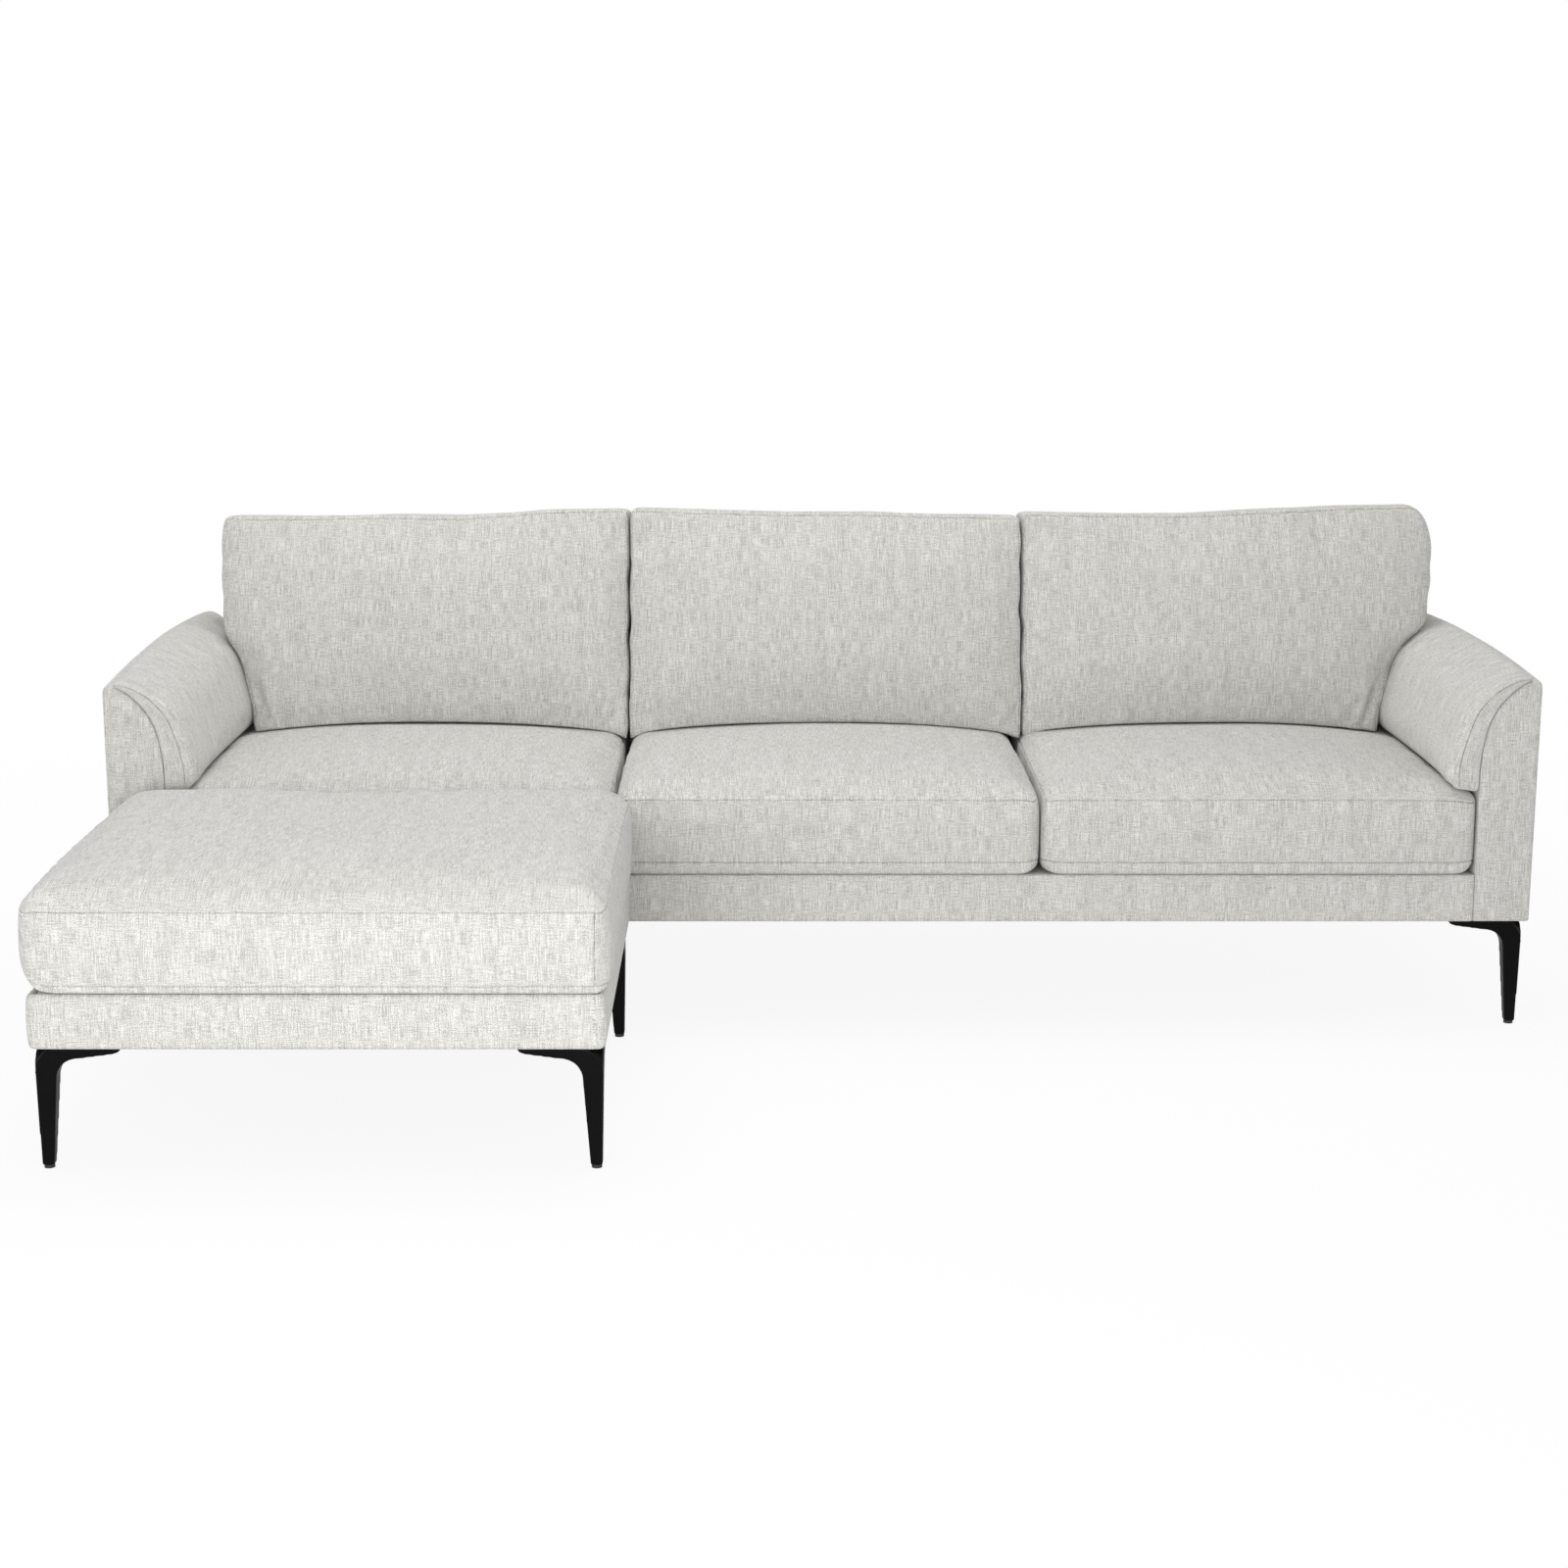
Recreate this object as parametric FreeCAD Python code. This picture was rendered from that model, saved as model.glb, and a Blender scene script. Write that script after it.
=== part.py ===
import FreeCAD, Part
import math
import os

from FreeCAD import Vector

# Three-seater sofa with a footstool, in millimetres.
# X runs along the sofa, its front faces -Y and the floor is at Z 0.
# The pieces are drawn with Y 0 at the front of the arms, and moved to the
# middle of the whole object's footprint when they are written.

# Sofa, overall
SOFA_WIDTH = 2450.0
SOFA_DEPTH = 900.0
LEG_HEIGHT = 190.0
BACK_HEIGHT = 776.0
OUTSIDE_LEAN = 60.0
BACK_FOOT_DEPTH = 198.0
INSIDE_RAKE = 9.8

# Upholstery
PADDING = 14.0
BACK_PADDING = 20.0
BORDER_EDGE_RADIUS = 7.0
BACK_EDGE_RADIUS = 9.0
SOFT_CLEARANCE = 0.3
COVER = 3.0
CORE_CLEARANCE = 0.4

# Arms
ARM_WIDTH = 97.0
ARM_HEIGHT_ENDS = 606.0
ARM_CROWN = 16.0
ARM_EDGE_RADIUS = 20.0
ARM_CURVE_DROP = 176.0
PAD_RISE = 4.0
PAD_MIDDLE_IN = 108.0
PAD_MIDDLE_DROP = 36.0
PAD_BOTTOM_THICKNESS = 56.0
PAD_PROUD = 3.0
ARM_STATIONS = 5
ARM_STATION_STEP = 200.0

# Timber frame
RAIL_HEIGHT = 70.0
RAIL_THICKNESS = 32.0
SIDE_RAIL_THICKNESS = 26.0
SEAT_REAR_RAIL_THICKNESS = 26.0
BEARER_WIDTH = 45.0
BEARER_HEIGHT = 40.0
CORNER_BLOCK_LEG = 80.0
CORNER_BLOCK_HEIGHT = 50.0
PANEL_THICKNESS = 18.0
PANEL_DROP = 46.0
PANEL_WINDOWS = 2
PANEL_WINDOW_WIDTH = 230.0
PANEL_WINDOW_HEIGHT = 150.0
PANEL_WINDOW_Z = 310.0
PANEL_WINDOW_RADIUS = 30.0
ARM_RAIL_WIDTH = 28.0
ARM_RAIL_HEIGHT = 25.0
ARM_RAIL_DROP = 84.0
UPRIGHT_THICKNESS = 22.0
TOP_RAIL_THICKNESS = 22.0

# Suspension and linings
DUST_COVER = 1.5
WEB_THICKNESS = 2.0
WEB_WIDTH = 55.0
SEAT_WEB_COUNT_LONG = 11
SEAT_WEB_COUNT_CROSS = 4
BACK_WEB_COUNT = 5
BACK_WEB_MARGIN = 60.0
DECK_THICKNESS = 8.5

# Seat cushions
SEAT_PROUD = 8.0
MIDDLE_SEAT_WIDTH = 735.0
MIDDLE_SEAT_OFFSET = 9.5
CUSHION_GAP = 4.0
SEAT_ARM_GAP = 2.0
SEAT_BACK_GAP = 6.0
SEAT_CORNER_RADIUS = 38.0
SEAT_DRAW_IN = 2.0
SEAT_THICKNESS = 178.0

# Back cushions
BACK_CUSHION_Z = 441.9
BACK_CUSHION_THICKNESS = 252.0
BACK_MIDDLE_LEFT = -356.0
BACK_MIDDLE_RIGHT = 391.0
BACK_LEFT_END = -1146.0
BACK_RIGHT_END = 1188.0
BACK_LEFT_TOPS = (824.0, 836.0)
BACK_MIDDLE_TOPS = (838.0, 828.0)
BACK_RIGHT_TOPS = (826.0, 844.0)
BACK_ARM_GAP = 6.0
BACK_ARM_NOTCH_RADIUS = 48.0
BACK_CORNER_RADIUS = 28.0
BACK_DRAW_IN = 4.0

# Footstool
STOOL_WIDTH = 850.0
STOOL_DEPTH = 736.0
STOOL_CENTRE_X = -757.0
STOOL_GAP = 18.0
STOOL_CUSHION_PROUD = 6.0
STOOL_CUSHION_THICKNESS = 170.0
STOOL_CORNER_RADIUS = 40.0
STOOL_DRAW_IN = 2.0
STOOL_WEB_COUNT_LONG = 6
STOOL_WEB_COUNT_CROSS = 5

# Cast legs
LEG_INSET_X = 5.0
LEG_INSET_Y = 20.0
WING_LENGTH = 130.0
WING_TIP = 8.0
WING_ROOT = 15.0
BEND_RADIUS = 40.0
CROTCH_RADIUS = 32.0
POST_TOP = 31.0
POST_FOOT = 18.0
POST_LEAN = 3.0
GLIDE_HEIGHT = 5.0
GLIDE_RADIUS = 8.0

# Levels of the seat, worked out from the sizes above
OUT = SOFA_WIDTH / 2
INSIDE_BACK_Y = SOFA_DEPTH - BACK_FOOT_DEPTH
INNER = OUT - ARM_WIDTH
PANEL_IN = OUT - PADDING - PANEL_THICKNESS
SIDE_RAIL_IN = PANEL_IN - SIDE_RAIL_THICKNESS
RAIL_Z = LEG_HEIGHT + DUST_COVER
RAIL_TOP = RAIL_Z + RAIL_HEIGHT
WEB_TOP = RAIL_TOP + 2 * WEB_THICKNESS
DECK_TOP = WEB_TOP + DECK_THICKNESS
CUSHION_Z = DECK_TOP + SOFT_CLEARANCE
FRONT_RAIL_REAR = PADDING + RAIL_THICKNESS
REAR_FOOT_Y = SOFA_DEPTH - OUTSIDE_LEAN
REAR_RAIL_REAR = REAR_FOOT_Y - PADDING
REAR_RAIL_FRONT = REAR_RAIL_REAR - RAIL_THICKNESS
SEAT_REAR_RAIL_REAR = INSIDE_BACK_Y + SEAT_REAR_RAIL_THICKNESS
UPRIGHT_TOP = BACK_HEIGHT - PADDING - TOP_RAIL_THICKNESS
SEAT_GAPS = (MIDDLE_SEAT_OFFSET - MIDDLE_SEAT_WIDTH / 2, MIDDLE_SEAT_OFFSET + MIDDLE_SEAT_WIDTH / 2)
STOOL_LEFT = STOOL_CENTRE_X - STOOL_WIDTH / 2
STOOL_RIGHT = STOOL_CENTRE_X + STOOL_WIDTH / 2
STOOL_REAR = -STOOL_GAP
STOOL_FRONT = STOOL_REAR - STOOL_DEPTH

# Layers of a seat cushion: share of its thickness, and how far each side is drawn in there
SEAT_LAYERS = (
    (0.00, {"front": 18.0, "free": 14.0, "under_arm": 14.0, "rear": 14.0}),
    (0.12, {"front": 3.0, "free": 2.0, "under_arm": 2.0, "rear": 3.0}),
    (0.45, {"front": 0.0, "free": 0.0, "under_arm": 0.0, "rear": 0.0}),
    (0.74, {"front": 4.0, "free": 3.0, "under_arm": 6.0, "rear": 1.0}),
    (0.86, {"front": 28.0, "free": 26.0, "under_arm": 58.0, "rear": 8.0}),
    (0.94, {"front": 84.0, "free": 80.0, "under_arm": 112.0, "rear": 50.0}),
    (1.00, {"front": 190.0, "free": 190.0, "under_arm": 205.0, "rear": 230.0}),
)

# Layers of the footstool cushion
STOOL_LAYERS = (
    (0.00, {"all": 14.0}),
    (0.10, {"all": 2.0}),
    (0.42, {"all": 0.0}),
    (0.72, {"all": 3.0}),
    (0.85, {"all": 26.0}),
    (0.94, {"all": 82.0}),
    (1.00, {"all": 190.0}),
)

# Layers of a back cushion, from its rear to its front
BACK_LAYERS = (
    (0.00, {"bottom": 16.0, "side": 20.0, "over_arm": 2.0, "top": 24.0}),
    (0.10, {"bottom": 2.0, "side": 3.0, "over_arm": 0.0, "top": 3.0}),
    (0.40, {"bottom": 0.0, "side": 0.0, "over_arm": 0.0, "top": 0.0}),
    (0.66, {"bottom": 4.0, "side": 4.0, "over_arm": 1.0, "top": 12.0}),
    (0.83, {"bottom": 18.0, "side": 20.0, "over_arm": 3.0, "top": 38.0}),
    (0.93, {"bottom": 48.0, "side": 54.0, "over_arm": 7.0, "top": 68.0}),
    (1.00, {"bottom": 96.0, "side": 104.0, "over_arm": 12.0, "top": 94.0}),
)


def box(x0, x1, y0, y1, z0, z1):
    return Part.makeBox(x1 - x0, y1 - y0, z1 - z0, Vector(x0, y0, z0))


def in_yz(x):
    return lambda a, b: Vector(x, a, b)


def in_xz(y):
    return lambda a, b: Vector(a, y, b)


def in_xy(z):
    return lambda a, b: Vector(a, b, z)


def rounded_wire(corners, radii, to_space):
    """Closed outline of straight sides with rounded corners."""
    count = len(corners)
    arcs = []
    for i in range(count):
        here = Vector(*corners[i], 0)
        back = (Vector(*corners[i - 1], 0) - here).normalize()
        ahead = (Vector(*corners[(i + 1) % count], 0) - here).normalize()
        half = math.acos(back.dot(ahead)) / 2
        reach = radii[i] / math.tan(half)
        middle = here + (back + ahead).normalize() * (radii[i] / math.sin(half) - radii[i])
        arcs.append([to_space(p.x, p.y) for p in (here + back * reach, middle, here + ahead * reach)])
    edges = []
    for i in range(count):
        if radii[i] > 0:
            edges.append(Part.Arc(*arcs[i]).toShape())
        edges.append(Part.LineSegment(arcs[i][2], arcs[(i + 1) % count][0]).toShape())
    return Part.Wire(edges)


def outlined(runs, to_space):
    """Closed outline of lines through two points and arcs through three."""
    edges = []
    for run in runs:
        points = [to_space(*point) for point in run]
        curve = Part.Arc(*points) if len(points) == 3 else Part.LineSegment(*points)
        edges.append(curve.toShape())
    return Part.Wire(edges)


def polygon(corners, to_space):
    """Closed outline of straight sides."""
    points = [to_space(*corner) for corner in corners]
    return Part.makePolygon(points + points[:1])


def extruded(wire, direction):
    return Part.Face(wire).extrude(direction)


def prism_x(corners, x0, x1):
    """Solid with an outline in the YZ plane, from x0 to x1."""
    return extruded(polygon(corners, in_yz(x0)), Vector(x1 - x0, 0, 0))


def drawn_in(corners, distances):
    """Corners of an outline whose sides have each moved in by a distance."""
    count = len(corners)
    moved = []
    for i in range(count):
        start = Vector(*corners[i], 0)
        run = (Vector(*corners[(i + 1) % count], 0) - start).normalize()
        moved.append((start + Vector(-run.y, run.x, 0) * distances[i], run))
    result = []
    for i in range(count):
        before, run_before = moved[i - 1]
        here, run_here = moved[i]
        across = run_before.x * run_here.y - run_before.y * run_here.x
        step = here - before
        along = (step.x * run_here.y - step.y * run_here.x) / across
        corner = before + run_before * along
        result.append((corner.x, corner.y))
    return result


def band(lower, upper):
    """Face between two sides of successive outlines, flat where both are straight."""
    if lower.Curve.TypeId == "Part::GeomLine":
        corners = [lower.Vertexes[0].Point, lower.Vertexes[1].Point,
                   upper.Vertexes[1].Point, upper.Vertexes[0].Point]
        return Part.Face(Part.makePolygon(corners + corners[:1]))
    return Part.makeRuledSurface(lower, upper)


def layered_loft(wires):
    """Solid through outlines that lie in parallel planes, side to side."""
    faces = [Part.Face(wires[0]), Part.Face(wires[-1])]
    for lower, upper in zip(wires, wires[1:]):
        faces += [band(a, b) for a, b in zip(lower.Edges, upper.Edges)]
    shell = Part.makeCompound(faces)
    shell.sewShape()
    return Part.makeSolid(shell.Shells[0])


def hollowed(outer, inner):
    """Solid between an outer form and a form that lies wholly inside it."""
    shells = [outer.Shells[0], inner.Shells[0].reversed()]
    return Part.makeSolid(Part.makeCompound(shells))


def mirrored_x(shape):
    return shape.mirror(Vector(0, 0, 0), Vector(1, 0, 0))


def evenly(count, low, high):
    """Middles of so many equal shares of a stretch."""
    return [low + (high - low) * (i + 0.5) / count for i in range(count)]


def inside_y(z, depth=0.0):
    """Front of the raked inside back at a height, or a layer behind it."""
    rake = math.radians(INSIDE_RAKE)
    return INSIDE_BACK_Y + (z - DECK_TOP) * math.tan(rake) + depth / math.cos(rake)


def outside_y(z, depth=0.0):
    """Rear of the leaning outside back at a height, or a layer before it."""
    slope = OUTSIDE_LEAN / (BACK_HEIGHT - LEG_HEIGHT)
    return REAR_FOOT_Y + (z - LEG_HEIGHT) * slope - depth


# Seat frame

SOFA_LEG_X = ((-OUT + LEG_INSET_X, 1), (OUT - LEG_INSET_X, -1))
SOFA_LEG_Y = ((LEG_INSET_Y, 1), (REAR_FOOT_Y - LEG_INSET_Y, -1))
STOOL_LEG_X = ((STOOL_LEFT + LEG_INSET_X, 1), (STOOL_RIGHT - LEG_INSET_X, -1))
STOOL_LEG_Y = ((STOOL_FRONT + LEG_INSET_Y, 1), (STOOL_REAR - LEG_INSET_Y, -1))


def corner_blocks(x0, x1, y0, y1):
    """Glued triangular blocks in the four inner corners of a frame."""
    blocks = []
    for x, to_x in ((x0, 1), (x1, -1)):
        for y, to_y in ((y0, 1), (y1, -1)):
            corners = [(x, y), (x + to_x * CORNER_BLOCK_LEG, y), (x, y + to_y * CORNER_BLOCK_LEG)]
            wire = polygon(corners, in_xy(RAIL_Z))
            blocks.append(extruded(wire, Vector(0, 0, CORNER_BLOCK_HEIGHT)))
    return Part.makeCompound(blocks)


def straps_along(xs, y0, y1):
    """Elastic webs from front to rear, on top of the rails."""
    half = WEB_WIDTH / 2
    top = RAIL_TOP + WEB_THICKNESS
    return [box(x - half, x + half, y0, y1, RAIL_TOP, top) for x in xs]


def straps_across(ys, x0, x1):
    """Elastic webs from side to side, on top of those along."""
    half = WEB_WIDTH / 2
    low = RAIL_TOP + WEB_THICKNESS
    return [box(x0, x1, y - half, y + half, low, WEB_TOP) for y in ys]


def seat_frame():
    parts = {}
    parts["front_rail"] = box(-PANEL_IN, PANEL_IN, PADDING, FRONT_RAIL_REAR, RAIL_Z, RAIL_TOP)
    parts["rear_rail"] = box(-PANEL_IN, PANEL_IN, REAR_RAIL_FRONT, REAR_RAIL_REAR, RAIL_Z, RAIL_TOP)
    right = box(SIDE_RAIL_IN, PANEL_IN, FRONT_RAIL_REAR, REAR_RAIL_FRONT, RAIL_Z, RAIL_TOP)
    parts["side_rail_right"] = right
    parts["side_rail_left"] = mirrored_x(right)
    parts["seat_rear_rail"] = box(
        -SIDE_RAIL_IN, SIDE_RAIL_IN, INSIDE_BACK_Y, SEAT_REAR_RAIL_REAR, RAIL_Z, RAIL_TOP)
    bearers = []
    for x in SEAT_GAPS:
        low = x - BEARER_WIDTH / 2
        bearers.append(box(
            low, low + BEARER_WIDTH, FRONT_RAIL_REAR, INSIDE_BACK_Y, RAIL_Z, RAIL_Z + BEARER_HEIGHT))
    parts["seat_bearers"] = Part.makeCompound(bearers)
    parts["corner_blocks"] = corner_blocks(-SIDE_RAIL_IN, SIDE_RAIL_IN, FRONT_RAIL_REAR, INSIDE_BACK_Y)
    along = straps_along(evenly(SEAT_WEB_COUNT_LONG, -INNER, INNER), PADDING, SEAT_REAR_RAIL_REAR)
    across = straps_across(evenly(SEAT_WEB_COUNT_CROSS, FRONT_RAIL_REAR, INSIDE_BACK_Y), -PANEL_IN, PANEL_IN)
    parts["seat_webbing"] = Part.makeCompound(along + across)
    parts["seat_deck"] = box(-INNER, INNER, PADDING, SEAT_REAR_RAIL_REAR, WEB_TOP, DECK_TOP)
    parts["dust_cover"] = box(
        -OUT + PADDING, OUT - PADDING, PADDING, REAR_RAIL_REAR, LEG_HEIGHT, RAIL_Z)
    parts["front_border"] = border(-INNER, INNER, PADDING, 0.0)
    return parts


def border(x0, x1, y_rail, y_face):
    """Padded strip on the face of a rail, with its outer top edge rounded."""
    corners = [(y_rail, LEG_HEIGHT), (y_face, LEG_HEIGHT), (y_face, DECK_TOP), (y_rail, DECK_TOP)]
    radii = (0, 0, BORDER_EDGE_RADIUS, 0)
    wire = rounded_wire(corners, radii, in_yz(x0))
    return extruded(wire, Vector(x1 - x0, 0, 0))


# Back frame

def back_frame():
    parts = {}
    layer = BACK_PADDING + WEB_THICKNESS
    profile = [
        (SEAT_REAR_RAIL_REAR, RAIL_Z),
        (REAR_RAIL_FRONT, RAIL_Z),
        (REAR_RAIL_FRONT, RAIL_TOP),
        (outside_y(RAIL_TOP, PADDING), RAIL_TOP),
        (outside_y(UPRIGHT_TOP, PADDING), UPRIGHT_TOP),
        (inside_y(UPRIGHT_TOP, layer), UPRIGHT_TOP),
        (inside_y(DECK_TOP, layer), DECK_TOP),
        (SEAT_REAR_RAIL_REAR, DECK_TOP),
    ]
    half = UPRIGHT_THICKNESS / 2
    end = INNER - PADDING - half
    places = (-end, SEAT_GAPS[0], SEAT_GAPS[1], end)
    parts["back_uprights"] = Part.makeCompound([prism_x(profile, x - half, x + half) for x in places])
    rail_top = UPRIGHT_TOP + TOP_RAIL_THICKNESS
    parts["back_top_rail"] = box(
        -INNER + PADDING, INNER - PADDING,
        inside_y(rail_top, layer), outside_y(UPRIGHT_TOP, PADDING), UPRIGHT_TOP, rail_top)
    straps = []
    for z in evenly(BACK_WEB_COUNT, DECK_TOP + BACK_WEB_MARGIN, UPRIGHT_TOP):
        low = z - WEB_WIDTH / 2
        high = z + WEB_WIDTH / 2
        strap = [
            (inside_y(low, BACK_PADDING), low),
            (inside_y(low, layer), low),
            (inside_y(high, layer), high),
            (inside_y(high, BACK_PADDING), high),
        ]
        straps.append(prism_x(strap, -INNER + PADDING, INNER - PADDING))
    parts["back_webbing"] = Part.makeCompound(straps)
    parts["inside_back"] = inside_back()
    parts["outside_back"] = outside_back()
    return parts


def inside_back():
    """Padded panel that the back cushions lean on."""
    corners = [
        (inside_y(DECK_TOP), DECK_TOP),
        (inside_y(DECK_TOP, BACK_PADDING), DECK_TOP),
        (inside_y(BACK_HEIGHT, BACK_PADDING), BACK_HEIGHT),
        (inside_y(BACK_HEIGHT), BACK_HEIGHT),
    ]
    wire = rounded_wire(corners, (0, 0, 0, BACK_EDGE_RADIUS), in_yz(-INNER))
    return extruded(wire, Vector(2 * INNER, 0, 0))


def outside_back():
    """Rear cover that folds over the top rail and round both ends of the back."""
    under_top = BACK_HEIGHT - PADDING
    rear = [
        (outside_y(LEG_HEIGHT, PADDING), LEG_HEIGHT),
        (outside_y(LEG_HEIGHT), LEG_HEIGHT),
        (outside_y(BACK_HEIGHT), BACK_HEIGHT),
        (inside_y(BACK_HEIGHT, BACK_PADDING), BACK_HEIGHT),
        (inside_y(under_top, BACK_PADDING), under_top),
        (outside_y(under_top, PADDING), under_top),
    ]
    radii = (0, 0, BACK_EDGE_RADIUS, 0, 0, 0)
    wire = rounded_wire(rear, radii, in_yz(-INNER))
    cover = extruded(wire, Vector(2 * INNER, 0, 0))
    end = [
        (inside_y(DECK_TOP, BACK_PADDING), DECK_TOP),
        (outside_y(DECK_TOP, PADDING), DECK_TOP),
        (outside_y(under_top, PADDING), under_top),
        (inside_y(under_top, BACK_PADDING), under_top),
    ]
    right_end = prism_x(end, INNER - PADDING, INNER)
    return cover.fuse([right_end, mirrored_x(right_end)]).removeSplitter()


# Arms

ARM_TOP = ARM_HEIGHT_ENDS + ARM_CROWN


def crown_drop(y):
    """How far the top of an arm lies below its highest, at a distance from the front."""
    first = max(0, math.floor(y / ARM_STATION_STEP))
    low, high = [ARM_CROWN * (1 - 2 * i * ARM_STATION_STEP / SOFA_DEPTH) ** 2 for i in (first, first + 1)]
    return low + (high - low) * (y / ARM_STATION_STEP - first)


def crowned(runs, front, rear, floor):
    """A section of the right arm, lowered along its crown from an upright front to a leaning rear."""
    def placed(x, z, y_at):
        lowered = max(z - crown_drop(y_at(z)), floor)
        return Vector(x, y_at(lowered), lowered)

    upright = [front] + [i * ARM_STATION_STEP for i in range(1, ARM_STATIONS)]
    lowest = min(z for run in runs for x, z in run)
    places = [lambda z, y=y: y for y in upright if y < rear(lowest)] + [rear]
    return layered_loft([outlined(runs, lambda x, z, at=at: placed(x, z, at)) for at in places])


def arm_curve(inset):
    """Top and inner side of an arm at its highest: an arc that stands upright at its foot."""
    run = ARM_WIDTH - ARM_EDGE_RADIUS
    radius = (run ** 2 + ARM_CURVE_DROP ** 2) / (2 * run)
    half_turn = math.asin(ARM_CURVE_DROP / radius) / 2
    crest = (OUT - ARM_EDGE_RADIUS, ARM_TOP - inset)
    middle = (INNER + radius - (radius - inset) * math.cos(half_turn),
              ARM_TOP - ARM_CURVE_DROP + (radius - inset) * math.sin(half_turn))
    foot = (INNER + inset, ARM_TOP - ARM_CURVE_DROP)
    return crest, middle, foot


def arm_volume(inset, front, floor):
    """The right arm: upright outside, curved top and inner side, drawn in by an inset."""
    crest, middle, foot = arm_curve(inset)
    outer = OUT - inset
    inner = INNER + inset
    shoulder = (outer, ARM_TOP - ARM_EDGE_RADIUS)
    slant = (ARM_EDGE_RADIUS - inset) * math.sqrt(0.5)
    runs = [
        ((outer, floor), shoulder),
        (shoulder, (crest[0] + slant, shoulder[1] + slant), crest),
        (crest, middle, foot),
        (foot, (inner, floor)),
        ((inner, floor), (outer, floor)),
    ]
    return crowned(runs, front, lambda z: outside_y(z, inset), floor)


def arm_shell():
    """Padded cover of an arm: outer side, facings, top and inner side."""
    hollow = arm_volume(PADDING, PADDING, DECK_TOP)
    under = box(INNER - PADDING, OUT - PADDING, PADDING, REAR_RAIL_REAR, 0.0, DECK_TOP)
    return arm_volume(0.0, 0.0, LEG_HEIGHT).cut(hollow).cut(under)


def arm_pad():
    """Saddle pad that drapes over the arm's top and inner side, up to the inside back."""
    arm_crest, arm_middle, arm_foot = arm_curve(-SOFT_CLEARANCE)
    crest = (arm_crest[0], ARM_TOP + PAD_RISE)
    middle = (OUT - PAD_MIDDLE_IN, ARM_TOP - PAD_MIDDLE_DROP)
    low = (INNER - PAD_BOTTOM_THICKNESS, arm_foot[1])
    runs = [(arm_crest, crest), (crest, middle, low), (low, arm_foot), (arm_foot, arm_middle, arm_crest)]
    return crowned(runs, -PAD_PROUD, inside_y, LEG_HEIGHT)


def arm_frame():
    """Side panel with windows, front and rear stumps and the rail between them."""
    panel_top = ARM_HEIGHT_ENDS - PANEL_DROP
    panel_out = OUT - PADDING
    panel = box(PANEL_IN, panel_out, PADDING, REAR_RAIL_REAR, RAIL_Z, panel_top)
    for y in evenly(PANEL_WINDOWS, PADDING, REAR_RAIL_REAR):
        low = y - PANEL_WINDOW_WIDTH / 2
        high = y + PANEL_WINDOW_WIDTH / 2
        top = PANEL_WINDOW_Z + PANEL_WINDOW_HEIGHT
        corners = [(low, PANEL_WINDOW_Z), (high, PANEL_WINDOW_Z), (high, top), (low, top)]
        wire = rounded_wire(corners, (PANEL_WINDOW_RADIUS,) * 4, in_yz(PANEL_IN))
        panel = panel.cut(extruded(wire, Vector(PANEL_THICKNESS, 0, 0)))
    inside = arm_volume(PADDING + SOFT_CLEARANCE, 0.0, LEG_HEIGHT)
    stumps = []
    for y0 in (PADDING, REAR_RAIL_FRONT):
        stumps.append(inside.common(box(0, PANEL_IN, y0, y0 + PANEL_THICKNESS, RAIL_TOP, panel_top)))
    rail_top = ARM_HEIGHT_ENDS - ARM_RAIL_DROP
    rail = box(PANEL_IN - ARM_RAIL_WIDTH, PANEL_IN, PADDING + PANEL_THICKNESS, REAR_RAIL_FRONT,
               rail_top - ARM_RAIL_HEIGHT, rail_top)
    return Part.makeCompound([panel, rail] + stumps)


def arms():
    parts = {}
    for name, shape in (("arm_frame", arm_frame()), ("arm_shell", arm_shell()), ("arm_pad", arm_pad())):
        parts[name + "_right"] = shape
        parts[name + "_left"] = mirrored_x(shape)
    return parts


# Cushions

def cushion_pieces(name, form):
    """Cover with a hollow, and the foam core that fills it."""
    return {
        name + "_cover": hollowed(form(0.0), form(COVER)),
        name + "_core": form(COVER + CORE_CLEARANCE),
    }


def waisted(outline, depth, sides):
    """Outline of corner, radius and side, with the named sides drawn in at their middles."""
    result = []
    for i, (corner, radius, side) in enumerate(outline):
        result.append((corner, radius, side))
        if side in sides:
            start = Vector(*corner, 0)
            end = Vector(*outline[(i + 1) % len(outline)][0], 0)
            run = (end - start).normalize()
            middle = (start + end) * 0.5 + Vector(-run.y, run.x, 0) * depth
            result.append(((middle.x, middle.y), 0, side))
    return result


def cushion_form(outline, layers, thickness, to_space):
    """Crowned cushion through its layers, as a function of an inset on every side."""
    corners = [corner for corner, radius, side in outline]
    radii = [radius for corner, radius, side in outline]
    core_layers = layers[::3]

    def form(inset):
        wires = []
        for share, distances in layers if inset == 0 else core_layers:
            depth = inset + share * (thickness - 2 * inset)
            moved = drawn_in(corners, [inset + distances[side] for corner, radius, side in outline])
            wires.append(rounded_wire(moved, radii, to_space(depth)))
        return layered_loft(wires)
    return form


def lying(depth):
    """Places a layer of a cushion that lies on its deck."""
    return in_xy(CUSHION_Z + depth)


def leaning(depth):
    """Places a layer of a cushion that leans on the inside back."""
    rear = inside_y(BACK_CUSHION_Z, -SOFT_CLEARANCE) - depth
    slope = math.tan(math.radians(INSIDE_RAKE))
    return lambda x, z: Vector(x, rear + (z - BACK_CUSHION_Z) * slope, z)


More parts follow.
